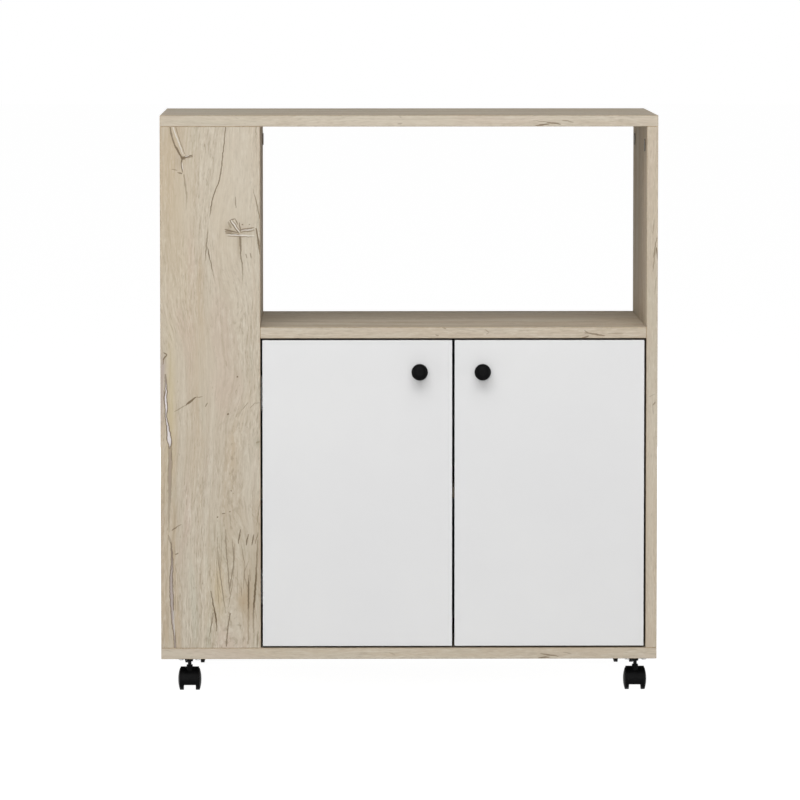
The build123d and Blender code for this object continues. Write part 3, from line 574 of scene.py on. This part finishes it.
def soft_patch(tree, spot, middle, size, strength):
    """A soft-edged oval, for a stain or a change of tone."""
    off = vcalc(tree, "DIVIDE", vcalc(tree, "SUBTRACT", spot, (*middle, 0)), (*size, 1))
    far = vcalc(tree, "DOT_PRODUCT", off, off, out="Value")
    return calc(tree, "MULTIPLY", calc(tree, "EXPONENT", calc(tree, "MULTIPLY", far, -1.0)), strength)


# Where the growth lines lean: middle and reach across and down in millimetres, and the
# shift in metres.
LEANS = [
    ((18, 270), (36, 44), -0.014),
    ((96, 372), (36, 46), 0.015),
    ((34, 455), (36, 50), 0.011),
    ((112, 205), (30, 40), -0.010),
    ((74, 90), (24, 50), 0.008),
    ((112, 540), (30, 50), -0.009),
]
# Soft changes of tone: middle and reach in millimetres, strength, and colour.
TONES = [
    ((16, 110), (30, 170), 0.60, (0.545, 0.455, 0.330, 1)),
    ((104, 95), (34, 150), 0.70, (0.590, 0.528, 0.430, 1)),
    ((60, 330), (45, 120), 0.35, (0.560, 0.480, 0.375, 1)),
    ((14, 375), (6, 85), 0.60, (0.550, 0.465, 0.290, 1)),
    ((3, 326), (4, 15), 0.65, (0.440, 0.375, 0.350, 1)),
    ((1.5, 362), (3.2, 38), 0.70, (0.430, 0.365, 0.345, 1)),
    ((124, 465), (16, 50), 0.55, (0.575, 0.520, 0.425, 1)),
    ((78, 628), (8, 34), 0.60, (0.540, 0.440, 0.280, 1)),
    ((110, 642), (9, 15), 0.70, (0.430, 0.330, 0.215, 1)),
    ((112, 138), (17, 15), 0.35, (0.470, 0.400, 0.310, 1)),
    ((92, 137), (4, 7), 0.45, (0.330, 0.255, 0.175, 1)),
    ((106, 142), (16, 5), 0.35, (0.350, 0.280, 0.200, 1)),
    ((106, 160), (2.4, 20), 0.50, (0.330, 0.255, 0.175, 1)),
    ((24, 46), (5, 12), 0.40, (0.380, 0.300, 0.215, 1)),
    ((132, 428), (6, 8), 0.55, (0.370, 0.330, 0.240, 1)),
    ((96, 560), (22, 90), 0.30, (0.500, 0.415, 0.300, 1)),
    ((119, 640), (10, 46), 0.50, (0.420, 0.320, 0.205, 1)),
    ((128, 585), (6, 70), 0.35, (0.400, 0.315, 0.215, 1)),
    ((102, 688), (9, 11), 0.60, (0.555, 0.490, 0.390, 1)),
]
# Drying checks: the path of each, and the width of its dark rim in millimetres.
CHECKS = [
    (
        [
            (-2, 13.6, 0.4, 0.7), (10, 15.8, 0.5, 0.75), (22, 19.1, 0.7, 0.8), (31, 23.8, 0.9, 0.9),
            (44, 30.6, 0.5, 1.0),
        ],
        0.6,
    ),
    ([(-2, 21.2, 0.1, 0.6), (15, 25.8, 0.1, 0.6), (37, 34.0, 0.1, 0.6)], 0.5),
    (
        [
            (-2, 89.0, 0.25, 0.8), (14, 87.6, 0.25, 0.75), (37, 85.0, 0.25, 0.8), (54, 83.3, 0.25, 0.8),
            (73, 79.9, 0.3, 0.85), (86, 74.9, 0.3, 0.85), (100, 70.6, 0.3, 0.85), (115, 68.1, 0.2, 0.7),
            (131, 64.9, 0.0, 0.1), (145, 64.0, 0.15, 0.6), (162, 62.4, 0.25, 0.7), (181, 61.2, 0.1, 0.2),
        ],
        0.55,
    ),
    ([(160, 63.4, 0.1, 0.3), (172, 65.6, 0.3, 0.8), (186, 68.9, 0.2, 0.7), (212, 74.5, 0.0, 0.1)], 0.5),
    (
        [
            (147, 107.8, 0.8, 0.75), (160, 108.6, 0.7, 0.75), (173, 108.9, 0.3, 0.75),
            (190, 111.2, 0.2, 0.6), (212, 111.4, 0.0, 0.1),
        ],
        0.6,
    ),
    ([(84, 126.0, 0.0, 0.4), (108, 131.5, 0.2, 0.75), (124, 134.4, 0.2, 0.6)], 0.5),
    ([(137, 129.6, 0.4, 0.85), (156, 132.8, 0.7, 0.9), (172, 134.3, 0.2, 0.6)], 0.6),
    ([(-2, 129.8, 0.1, 0.55), (34, 129.8, 0.0, 0.35)], 0.5),
    ([(64, 32.6, 0.3, 0.5), (80, 34.4, 0.4, 0.45), (92, 36.0, 0.4, 0.4), (113, 35.1, 0.0, 0.15)], 0.6),
    (
        [
            (559, 131.3, 0.0, 0.5), (600, 129.0, 0.5, 0.75), (618, 128.0, 0.7, 1.0),
            (646, 126.0, 0.65, 1.0), (656, 125.3, 0.2, 0.7), (686, 124.8, 0.0, 0.4),
        ],
        0.6,
    ),
    (
        [
            (607, 118.8, 0.0, 0.4), (628, 118.4, 0.5, 0.95), (646, 118.3, 0.45, 0.95),
            (658, 118.2, 0.1, 0.55), (702, 118.0, 0.0, 0.3),
        ],
        0.6,
    ),
    ([(629, 67.3, 0.1, 0.6), (647, 70.6, 0.3, 0.9), (664, 74.0, 0.4, 1.0), (684, 75.4, 0.1, 0.6)], 0.6),
    ([(658, 70.8, 0.1, 0.65), (675, 68.1, 0.2, 0.75), (692, 65.0, 0.0, 0.5)], 0.55),
    ([(659, 93.6, 0.1, 0.7), (681, 90.1, 0.25, 0.75), (705, 88.4, 0.2, 0.75)], 0.6),
    ([(574, 77.4, 0.0, 0.45), (600, 79.1, 0.2, 0.65), (625, 82.5, 0.2, 0.65), (660, 87.6, 0.0, 0.4)], 0.5),
    (
        [
            (545, 87.6, 0.0, 0.4), (573, 88.4, 0.25, 0.65), (593, 90.1, 0.2, 0.6),
            (617, 91.8, 0.3, 0.65), (634, 93.5, 0.1, 0.4),
        ],
        0.5,
    ),
    ([(558, 96.0, 0.0, 0.4), (583, 98.5, 0.25, 0.65), (608, 96.0, 0.3, 0.65), (628, 92.6, 0.2, 0.5)], 0.5),
    ([(588, 118.4, 0.0, 0.3), (607, 113.0, 0.1, 0.5), (622, 117.0, 0.1, 0.4)], 0.5),
]
# Wider checks that are filled, with the colour of what fills them.
FILLED_CHECKS = [
    (
        [
            (334, 6.6, 0.4, 0.6), (345, 7.3, 0.9, 0.9), (357, 7.6, 1.3, 1.0), (370, 6.8, 1.9, 1.0),
            (380, 8.0, 1.8, 1.0), (390, 7.3, 1.1, 1.0), (400, 8.9, 1.5, 1.0), (411, 10.4, 2.0, 1.0),
            (423, 11.5, 2.8, 1.0), (430, 12.5, 1.6, 0.9), (436, 11.9, 0.5, 0.7),
        ],
        0.7,
        (0.700, 0.655, 0.650, 1),
    ),
    (
        [
            (432, 11.9, 0.6, 0.35), (449, 13.0, 2.2, 0.55), (475, 12.3, 1.8, 0.55), (498, 12.2, 1.3, 0.5),
            (520, 10.9, 0.6, 0.4), (534, 10.8, 0.5, 0.35), (549, 11.5, 0.3, 0.2),
        ],
        0.9,
        (0.395, 0.315, 0.265, 1),
    ),
    (
        [
            (562, 13.1, 0.2, 0.5), (573, 14.4, 0.5, 0.9), (593, 14.8, 1.2, 0.95), (612, 13.8, 1.9, 0.95),
            (634, 14.1, 2.2, 0.95), (651, 14.8, 2.0, 0.95), (676, 16.2, 1.5, 0.9), (691, 18.0, 1.2, 0.9),
            (709, 18.9, 1.2, 0.9),
        ],
        0.6,
        (0.435, 0.375, 0.348, 1),
    ),
]
# Short strokes, dark and then pale, as the tapered marks above are given.
STROKES = [
    (30.6, 42.6, 44.6, 38.0, 1.9, 0.95, 1.0),
    (28.0, 39.6, 34.0, 44.4, 1.9, 0.60, 0.0),
    (36.0, 41.4, 45.0, 39.6, 1.3, 0.65, 0.0),
    (30.1, 41.0, 28.9, 51.0, 1.1, 0.9, 0.4),
    (28.9, 50.0, 30.8, 61.8, 0.9, 0.8, 0.0),
    (16.0, 57.3, 23.6, 58.8, 0.6, 0.55, 0.0),
    (23.8, 61.8, 30.4, 63.4, 0.8, 0.75, 0.0),
    (87.4, 138.7, 104.6, 142.9, 0.9, 0.85, 0.0),
    (88.0, 141.2, 98.0, 142.2, 1.5, 0.55, 0.0),
    (92.0, 128.0, 96.0, 137.0, 1.5, 0.45, 0.0),
    (107.0, 139.8, 127.0, 138.6, 1.3, 0.45, 0.0),
    (88.2, 143.4, 107.8, 145.6, 0.7, 0.8, 0.0),
    (90.0, 147.6, 126.5, 148.8, 0.6, 0.7, 0.0),
    (94.0, 126.4, 106.4, 144.0, 0.8, 0.85, 0.0),
    (97.2, 125.2, 108.0, 141.0, 0.5, 0.7, 0.0),
    (93.5, 126.9, 102.0, 124.0, 0.7, 0.75, 0.0),
    (101.9, 124.3, 104.6, 132.5, 0.7, 0.75, 0.0),
    (107.0, 129.0, 108.6, 141.5, 0.7, 0.8, 0.0),
    (108.0, 138.6, 127.0, 136.2, 0.7, 0.8, 0.0),
    (108.4, 142.2, 128.0, 140.0, 0.6, 0.7, 0.0),
    (110.6, 132.4, 112.2, 131.2, 0.9, 0.75, 0.0),
    (119.8, 132.2, 121.4, 131.2, 0.8, 0.6, 0.0),
    (115.4, 171.5, 117.2, 178.0, 0.7, 0.6, 0.0),
    (121.2, 170.0, 123.2, 178.0, 0.7, 0.6, 0.0),
    (101.8, 94.0, 102.5, 110.5, 0.7, 0.6, 0.0),
    (4.4, 305.2, 9.0, 308.0, 0.8, 0.85, 0.0),
    (9.0, 308.0, 3.0, 315.6, 0.9, 0.9, 0.0),
    (5.6, 310.2, 3.0, 322.0, 0.7, 0.7, 0.0),
    (4.6, 356.0, 5.2, 376.0, 0.8, 0.75, 0.0),
    (9.0, 402.0, 8.4, 424.0, 0.7, 0.65, 0.0),
    (15.0, 424.0, 14.6, 452.0, 0.8, 0.55, 0.0),
    (18.2, 385.4, 35.4, 375.6, 0.6, 0.5, 0.0),
    (34.0, 376.6, 48.0, 365.4, 1.2, 0.95, 0.0),
    (46.0, 366.0, 57.0, 364.8, 0.6, 0.55, 0.0),
    (102.8, 337.0, 104.6, 337.9, 1.2, 0.85, 0.0),
    (90.0, 388.0, 92.2, 389.2, 1.5, 0.9, 0.0),
    (63.4, 373.0, 60.8, 378.6, 0.8, 0.65, 0.0),
    (94.8, 491.6, 95.8, 493.8, 0.8, 0.65, 0.0),
    (97.4, 495.4, 98.2, 497.0, 0.6, 0.5, 0.0),
    (75.8, 528.2, 77.6, 529.0, 1.1, 0.85, 0.0),
    (82.6, 524.0, 87.2, 522.8, 0.8, 0.75, 0.0),
    (92.6, 521.6, 94.6, 521.0, 0.9, 0.75, 0.0),
    (109.2, 384.0, 118.4, 372.2, 0.5, 0.55, 0.0),
    (121.2, 380.6, 127.6, 373.2, 0.5, 0.5, 0.0),
    (127.0, 373.6, 134.6, 373.2, 0.5, 0.5, 0.0),
    (129.0, 428.0, 134.0, 426.0, 1.2, 0.40, 0.0),
    (108.0, 545.0, 104.3, 565.0, 0.8, 0.85, 0.0),
    (118.2, 552.0, 115.2, 567.0, 0.85, 0.85, 0.0),
    (125.8, 552.0, 122.8, 567.0, 0.9, 0.85, 0.0),
    (131.7, 548.6, 127.9, 565.0, 0.6, 0.65, 0.0),
    (134.4, 505.0, 129.7, 540.0, 0.5, 0.55, 0.0),
    (14.6, 547.0, 22.4, 541.0, 0.8, 0.75, 0.0),
    (21.0, 542.0, 28.0, 538.0, 0.6, 0.55, 0.0),
    (18.8, 579.2, 24.0, 577.0, 0.9, 0.70, 0.0),
    (9.6, 552.0, 14.2, 566.0, 1.3, 0.40, 0.0),
    (77.0, 553.0, 75.3, 600.0, 0.5, 0.50, 0.0),
    (75.6, 598.0, 78.1, 650.0, 0.5, 0.50, 0.0),
    (83.0, 548.0, 81.0, 592.0, 0.4, 0.40, 0.0),
    (100.0, 563.0, 98.0, 612.0, 0.45, 0.50, 0.0),
    (98.5, 608.0, 91.0, 652.0, 0.5, 0.50, 0.0),
    (104.0, 600.0, 103.0, 642.0, 0.4, 0.40, 0.0),
    (109.0, 567.0, 113.6, 595.0, 0.5, 0.50, 0.0),
    (113.4, 592.0, 111.5, 626.0, 0.5, 0.50, 0.0),
    (79.3, 578.4, 80.6, 609.0, 0.4, 0.45, 0.0),
    (76.7, 609.0, 80.1, 631.0, 0.4, 0.40, 0.0),
    (108.2, 622.6, 109.0, 636.0, 0.5, 0.50, 0.0),
    (120.0, 599.0, 121.0, 617.0, 0.5, 0.55, 0.0),
    (125.2, 670.0, 126.0, 697.0, 0.4, 0.45, 0.0),
    (131.2, 683.0, 130.3, 707.0, 0.6, 0.60, 0.0),
    (92.9, 524.0, 95.4, 544.5, 0.4, 0.40, 0.0),
]
PALE_STROKES = [
    (16.6, -4.0, 23.6, 17.0, 0.8, 0.80, 0.0),
    (22.6, 13.0, 31.2, 37.0, 0.65, 0.80, 0.0),
    (30.0, 48.0, 31.4, 60.0, 0.5, 0.85, 0.0),
    (34.0, 41.0, 40.0, 38.9, 0.5, 0.75, 0.0),
    (91.0, 145.6, 127.4, 147.4, 0.75, 0.90, 0.0),
    (95.6, 126.2, 107.6, 142.6, 0.75, 0.90, 0.0),
    (109.0, 140.4, 126.0, 138.2, 0.55, 0.80, 0.0),
    (16.6, 655.0, 18.2, 690.0, 0.5, 0.85, 0.0),
    (92.0, 430.0, 93.0, 500.0, 0.5, 0.10, 0.0),
]


def tall_panel_marks(tree, spot, front, colour, relief):
    """All that is drawn on the tall panel's front: tones, checks, fillings and strokes."""
    for middle, size, strength, shade in TONES:
        soft = calc(tree, "MULTIPLY", soft_patch(tree, spot, middle, size, strength), front)
        colour = blended(tree, soft, colour, shade)
    dark = None
    for path, rim in CHECKS:
        rims, _ = drying_check(tree, spot, path, rim)
        dark = rims if dark is None else calc(tree, "MAXIMUM", dark, rims)
    for path, rim, fill in FILLED_CHECKS:
        rims, inner = drying_check(tree, spot, path, rim)
        colour = blended(tree, calc(tree, "MULTIPLY", rims, front), colour, (0.215, 0.165, 0.118, 1))
        colour = blended(tree, calc(tree, "MULTIPLY", inner, front), colour, fill)
    dark = calc(tree, "MULTIPLY", calc(tree, "MAXIMUM", dark, drawn(tree, spot, STROKES)), front)
    colour = blended(tree, dark, colour, CRACK)
    pale = calc(tree, "MULTIPLY", drawn(tree, spot, PALE_STROKES), front)
    colour = blended(tree, pale, colour, PUTTY)
    return colour, calc(tree, "MAXIMUM", relief, dark)


oak_board("left_front_panel", "z", "y", 2.05, knotty=0.0, dress=tall_panel_marks, bow=growth_flow)

# Left rear panel and divider.
# The rear board closes the bay from behind. The divider stands between the two, is
# drawn to both by cams, and carries the left door's hinges.
oak_board("left_rear_panel", "z", "y", 2.93)
oak_board("divider_panel", "z", "x", 3.61)

# Niche shelf.
# It joins the divider to the right side panel over the cupboard and is the floor of
# the open niche. Its cams are bored from below, where nobody sees them.
oak_board(
    "niche_shelf",
    "x",
    "z",
    4.43,
    front_marks=[
        (438.0, 7.4, 466.0, 11.9, 0.9, 0.75, 0.0),
        (435.0, 14.4, 444.0, 12.0, 0.9, 0.90, 0.0),
        (438.0, 4.4, 443.0, 8.0, 0.7, 0.55, 0.0),
        (469.0, 8.3, 491.0, 8.7, 0.6, 0.35, 0.0),
        (303.5, 2.8, 309.5, 7.0, 0.6, 0.40, 0.0),
        (309.5, 7.0, 305.0, 9.8, 0.6, 0.40, 0.0),
        (236.5, 10.8, 241.5, 11.6, 0.9, 0.50, 0.0),
        (244.0, -0.6, 251.5, 2.4, 0.8, 0.55, 0.0),
    ],
    top_marks=[
        (312.0, 44.0, 388.0, 20.0, 3.2, 0.22, 0.0),
        (334.0, 33.0, 374.0, 25.0, 3.0, 0.38, 0.0),
        (433.0, 114.0, 475.0, 104.0, 4.0, 0.36, 0.0),
        (171.0, 113.0, 208.0, 105.0, 3.6, 0.32, 0.0),
        (203.0, 93.0, 224.0, 88.0, 3.0, 0.28, 0.0),
        (2.0, 128.0, 92.0, 118.0, 8.0, 0.20, 0.0),
    ],
)

# Loose shelves.
# One lies on four pins inside the cupboard, and two on pins in the side bay. They are
# edged with the same print and can be lifted out.
oak_board("inner_shelf", "x", "z", 5.27)
oak_board("side_shelf_lower", "y", "z", 6.11)
oak_board("side_shelf_upper", "y", "z", 6.89)

# Back.
# A thin fibreboard with a matt white face is nailed over the rear edges of the boards
# and closes the cupboard.
finish, tree, shader = new_finish("white_fibreboard")
coords = put(tree, "ShaderNodeTexCoord").outputs["Object"]
felt = noise(tree, coords, (900.0, 900.0, 900.0), 3.0)
cloud = noise(tree, coords, (9.0, 9.0, 9.0), 3.0)
colour = blended(tree, ease(tree, cloud, 0.35, 0.7, 0.0, 1.0), (0.66, 0.65, 0.62, 1), (0.73, 0.725, 0.70, 1))
bump = put(tree, "ShaderNodeBump", {"Height": felt, "Strength": 0.3, "Distance": 0.0002})
tree.links.new(colour, shader.inputs["Base Color"])
tree.links.new(ease(tree, felt, 0.3, 0.7, 0.55, 0.72), shader.inputs["Roughness"])
tree.links.new(bump.outputs["Normal"], shader.inputs["Normal"])
wear_finish(finish, "back_panel")

# Doors.
# Two inset doors of the same chipboard, faced and edged with plain white melamine that
# has a very fine pebbled texture. A paler line along each edge is a painted highlight, where the edge band's
# rounding would catch the light.
for side in ("left", "right"):
    node = side + "_door"
    finish, tree, shader = new_finish("white_melamine_" + side)
    coords = put(tree, "ShaderNodeTexCoord").outputs["Object"]
    cloud = noise(tree, coords, (5.0, 5.0, 5.0), 3.0)
    colour = blended(tree, ease(tree, cloud, 0.3, 0.7), (0.712, 0.712, 0.714, 1), (0.734, 0.734, 0.732, 1))
    low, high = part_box(node)
    painted_edge_light = use_effect(
        tree,
        edges,
        {"Place": coords, "Middle": (low + high) / 2, "Half Size": (high - low) / 2, "Reach": 0.0013},
    )["Edge"]
    # A paler colour along the edges is a painted highlight of the rounded edge band.
    colour = blended(tree, calc(tree, "MULTIPLY", painted_edge_light, 0.7), colour, (0.84, 0.84, 0.84, 1))
    pebble = noise(tree, coords, (1400.0, 1400.0, 1400.0), 2.0)
    bump = put(tree, "ShaderNodeBump", {"Height": pebble, "Strength": 0.15, "Distance": 0.0001})
    rough = calc(tree, "ADD", ease(tree, cloud, 0.3, 0.7, 0.40, 0.46), calc(tree, "MULTIPLY", painted_edge_light, 0.15))
    tree.links.new(colour, shader.inputs["Base Color"])
    tree.links.new(rough, shader.inputs["Roughness"])
    tree.links.new(bump.outputs["Normal"], shader.inputs["Normal"])
    shader.inputs["Specular IOR Level"].default_value = 0.3
    wear_finish(finish, node)

# Knobs.
# Round knobs of solid black plastic with a smooth, satin skin, each held by one screw
# that runs through the door.
finish, tree, shader = new_finish("black_knob_plastic")
coords = put(tree, "ShaderNodeTexCoord").outputs["Object"]
skin = noise(tree, coords, (700.0, 700.0, 700.0), 2.0)
cloud = noise(tree, coords, (60.0, 60.0, 60.0), 2.0)
colour = blended(tree, ease(tree, cloud, 0.3, 0.7), (0.0030, 0.0030, 0.0032, 1), (0.0044, 0.0044, 0.0047, 1))
bump = put(tree, "ShaderNodeBump", {"Height": skin, "Strength": 0.2, "Distance": 0.0001})
tree.links.new(colour, shader.inputs["Base Color"])
tree.links.new(ease(tree, skin, 0.3, 0.7, 0.36, 0.46), shader.inputs["Roughness"])
tree.links.new(bump.outputs["Normal"], shader.inputs["Normal"])
shader.inputs["Specular IOR Level"].default_value = 0.04
wear_finish(finish, "left_knob", "right_knob")

# Zinc-plated steel.
# Screws, nails, cams, bolts, hinge pins and springs are plain steel with a thin,
# slightly blotched zinc plating.
finish, tree, shader = new_finish("zinc_plated_steel")
coords = put(tree, "ShaderNodeTexCoord").outputs["Object"]
spangle = noise(tree, coords, (420.0, 420.0, 420.0), 3.0, 0.6)
scratch = noise(tree, coords, (2600.0, 160.0, 900.0), 2.0)
colour = blended(tree, ease(tree, spangle, 0.3, 0.7), (0.47, 0.48, 0.49, 1), (0.66, 0.66, 0.65, 1))
bump = put(tree, "ShaderNodeBump", {"Height": scratch, "Strength": 0.2, "Distance": 0.00005})
tree.links.new(colour, shader.inputs["Base Color"])
tree.links.new(ease(tree, spangle, 0.3, 0.7, 0.30, 0.45), shader.inputs["Roughness"])
tree.links.new(bump.outputs["Normal"], shader.inputs["Normal"])
shader.inputs["Metallic"].default_value = 1.0
wear_finish(
    finish,
    "cam_locks",
    "cam_bolts",
    "back_nails",
    "left_knob_screw",
    "right_knob_screw",
    "left_cup_screws",
    "right_cup_screws",
    "hinge_plate_screws",
    "arm_clamp_screws",
    "left_hinge_pins",
    "right_hinge_pins",
    "left_hinge_springs",
    "right_hinge_springs",
    "caster_screws",
)

# Concealed hinges.
# The cups are pressed from thin sheet, the arms are bent strip and the mounting plates
# are die-cast. All are nickel-plated, in a colour darkened as painted shade, so that no bright metal shows in
# the doors' gaps.
finish, tree, shader = new_finish("nickel_darkened_as_gap_shade")
coords = put(tree, "ShaderNodeTexCoord").outputs["Object"]
cloud = noise(tree, coords, (240.0, 240.0, 240.0), 3.0)
brushed = noise(tree, coords, (500.0, 500.0, 4200.0), 2.0)
# The very dark colour is painted shade, for the shadowed gaps between the doors.
colour = blended(tree, ease(tree, cloud, 0.3, 0.7), (0.115, 0.112, 0.108, 1), (0.165, 0.160, 0.152, 1))
bump = put(tree, "ShaderNodeBump", {"Height": brushed, "Strength": 0.12, "Distance": 0.00005})
tree.links.new(colour, shader.inputs["Base Color"])
tree.links.new(ease(tree, cloud, 0.3, 0.7, 0.22, 0.32), shader.inputs["Roughness"])
tree.links.new(bump.outputs["Normal"], shader.inputs["Normal"])
shader.inputs["Metallic"].default_value = 1.0
for side in ("left", "right"):
    wear_finish(finish, side + "_hinge_cups", side + "_hinge_arms", side + "_hinge_plates")

# Cam covers.
# A moulded cap is pressed over each cam: grey-brown plastic, near the oak's own tone,
# with a satin skin.
finish, tree, shader = new_finish("grey_brown_cap")
coords = put(tree, "ShaderNodeTexCoord").outputs["Object"]
cloud = noise(tree, coords, (150.0, 150.0, 150.0), 2.0)
grainy = noise(tree, coords, (2200.0, 2200.0, 2200.0), 1.0)
colour = blended(tree, ease(tree, cloud, 0.3, 0.7), (0.135, 0.118, 0.095, 1), (0.165, 0.145, 0.118, 1))
bump = put(tree, "ShaderNodeBump", {"Height": grainy, "Strength": 0.2, "Distance": 0.00005})
tree.links.new(colour, shader.inputs["Base Color"])
tree.links.new(ease(tree, grainy, 0.3, 0.7, 0.45, 0.58), shader.inputs["Roughness"])
tree.links.new(bump.outputs["Normal"], shader.inputs["Normal"])
wear_finish(finish, "cam_caps")

# Dowels and shelf pins.
# The dowels are turned beech, glued into the boards' edges. The shelf pins are moulded
# in milky plastic and push into holes.
finish, tree, shader = new_finish("turned_beech")
coords = put(tree, "ShaderNodeTexCoord").outputs["Object"]
fleck = noise(tree, coords, (900.0, 900.0, 120.0), 3.0)
colour = blended(tree, ease(tree, fleck, 0.35, 0.7), (0.50, 0.33, 0.19, 1), (0.63, 0.45, 0.28, 1))
bump = put(tree, "ShaderNodeBump", {"Height": fleck, "Strength": 0.3, "Distance": 0.0002})
tree.links.new(colour, shader.inputs["Base Color"])
tree.links.new(ease(tree, fleck, 0.3, 0.7, 0.55, 0.7), shader.inputs["Roughness"])
tree.links.new(bump.outputs["Normal"], shader.inputs["Normal"])
wear_finish(finish, "dowels")

finish, tree, shader = new_finish("milky_plastic")
coords = put(tree, "ShaderNodeTexCoord").outputs["Object"]
cloud = noise(tree, coords, (200.0, 200.0, 200.0), 2.0)
colour = blended(tree, ease(tree, cloud, 0.3, 0.7), (0.66, 0.66, 0.63, 1), (0.74, 0.74, 0.72, 1))
tree.links.new(colour, shader.inputs["Base Color"])
tree.links.new(ease(tree, cloud, 0.3, 0.7, 0.35, 0.45), shader.inputs["Roughness"])
wear_finish(finish, "shelf_pins")

# Casters.
# The hood and the twin wheels are moulded in black nylon. A blackened steel axle joins
# the wheels, and a kingpin in a screwed plate, also blackened, lets each caster swivel.
finish, tree, shader = new_finish("black_nylon")
coords = put(tree, "ShaderNodeTexCoord").outputs["Object"]
cloud = noise(tree, coords, (120.0, 120.0, 120.0), 2.0)
spark = noise(tree, coords, (1500.0, 1500.0, 1500.0), 2.0)
colour = blended(tree, ease(tree, cloud, 0.3, 0.7), (0.0026, 0.0026, 0.0028, 1), (0.0042, 0.0042, 0.0045, 1))
bump = put(tree, "ShaderNodeBump", {"Height": spark, "Strength": 0.25, "Distance": 0.0001})
tree.links.new(colour, shader.inputs["Base Color"])
tree.links.new(ease(tree, spark, 0.3, 0.7, 0.36, 0.50), shader.inputs["Roughness"])
tree.links.new(bump.outputs["Normal"], shader.inputs["Normal"])
shader.inputs["Specular IOR Level"].default_value = 0.04

steel, tree, shader = new_finish("blackened_steel")
coords = put(tree, "ShaderNodeTexCoord").outputs["Object"]
bloom = noise(tree, coords, (260.0, 260.0, 260.0), 3.0)
colour = blended(tree, ease(tree, bloom, 0.3, 0.7), (0.007, 0.007, 0.0075, 1), (0.013, 0.013, 0.013, 1))
bump = put(tree, "ShaderNodeBump", {"Height": bloom, "Strength": 0.15, "Distance": 0.0001})
tree.links.new(colour, shader.inputs["Base Color"])
tree.links.new(ease(tree, bloom, 0.3, 0.7, 0.38, 0.5), shader.inputs["Roughness"])
tree.links.new(bump.outputs["Normal"], shader.inputs["Normal"])
shader.inputs["Metallic"].default_value = 1.0
wear_finish(steel, "caster_kingpins")
for row in ("front", "rear"):
    for side in ("left", "right"):
        caster = row + "_" + side + "_caster_"
        wear_finish(finish, caster + "housing", caster + "left_wheel", caster + "right_wheel")
        wear_finish(steel, caster + "plate", caster + "axle")

# Studio floor.
# A seamless pale sheet. To the camera and in reflections it is plain white, darkened
# only where the cabinet keeps the light off it.
def looked_at(tree):
    """1 where the camera, a reflection or glass shows it, and 0 where it lights the rest."""
    ray = put(tree, "ShaderNodeLightPath").outputs
    beyond = calc(tree, "MAXIMUM", ray["Is Glossy Ray"], ray["Is Transmission Ray"])
    return calc(tree, "MAXIMUM", ray["Is Camera Ray"], beyond)


FLOOR_GLOW = 0.965
bpy.ops.mesh.primitive_plane_add(size=60, location=(0, 0, 0))
floor = bpy.context.object
floor.name = "studio_floor"
finish, tree, shader = new_finish("seamless_white")
seen = looked_at(tree)
tree.links.new(blended(tree, seen, (0.55, 0.55, 0.55, 1), (0.22, 0.22, 0.22, 1)), shader.inputs["Base Color"])
shader.inputs["Roughness"].default_value = 0.9
shader.inputs["Specular IOR Level"].default_value = 0.0
shader.inputs["Emission Color"].default_value = (1, 1, 1, 1)
tree.links.new(calc(tree, "MULTIPLY", seen, FLOOR_GLOW), shader.inputs["Emission Strength"])
floor.data.materials.append(finish)
floor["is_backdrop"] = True

# Light.
# A wide soft box stands before the cabinet, another hangs above it, and weaker ones
# light the sides and the back. The background is plain white.
world = bpy.data.worlds.new("white_studio")
bpy.context.scene.world = world
world.use_nodes = True
tree = world.node_tree
sky = next(n for n in tree.nodes if n.type == "BACKGROUND")
seen = looked_at(tree)
tree.links.new(blended(tree, seen, (0.13, 0.13, 0.13, 1), (1, 1, 1, 1)), sky.inputs["Color"])
sky.inputs["Strength"].default_value = 1.0


def soft_box(name, at, towards, width, height, power, shine=True):
    """A rectangular lamp, hidden from the camera; shine says whether reflections show it."""
    lamp = bpy.data.lights.new(name, "AREA")
    lamp.shape = "RECTANGLE"
    lamp.size = width
    lamp.size_y = height
    lamp.energy = power
    made = bpy.data.objects.new(name, lamp)
    made.location = at
    made.rotation_mode = "QUATERNION"
    made.rotation_quaternion = (Vector(towards) - Vector(at)).to_track_quat("-Z", "Y")
    made.visible_camera = False
    made.visible_glossy = shine
    bpy.context.scene.collection.objects.link(made)


soft_box("front_soft_box", (-0.2, -5.2, 1.1), (0.0, 0.0, 0.4), 3.2, 2.2, 87.0)
soft_box("high_soft_box", (-0.2, -2.6, 3.1), (0.0, 0.0, 0.5), 3.6, 2.4, 92.0)
soft_box("left_soft_box", (-3.6, -0.2, 0.6), (0.0, 0.0, 0.4), 1.6, 1.2, 40.0)
soft_box("right_soft_box", (3.6, -0.2, 0.6), (0.0, 0.0, 0.4), 1.6, 1.2, 40.0)
soft_box("rear_soft_box", (0.0, 3.7, 0.27), (0.0, 0.0, 0.4), 2.2, 0.4, 52.0, shine=False)

# Camera.
# It stands square to the front, a little above the top and slightly left of the
# middle, with a long lens, as the photographer's did.
lens = bpy.data.cameras.new("camera")
lens.sensor_width = 36.0
lens.lens = 256.4
lens.clip_end = 100.0
camera = bpy.data.objects.new("camera", lens)
camera.location = (-0.1079, -7.8472, 1.0016)
camera.rotation_mode = "QUATERNION"
aim = Vector((-0.01225, -0.1659, 0.39841)) - camera.location
camera.rotation_quaternion = aim.to_track_quat("-Z", "Y")
bpy.context.scene.collection.objects.link(camera)
bpy.context.scene.camera = camera

# Colours and size.
# The colours are shown as they are mixed, and the cabinet's outer corners are found
# as it is dressed.
bpy.context.scene.view_settings.view_transform = "Standard"
low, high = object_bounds()
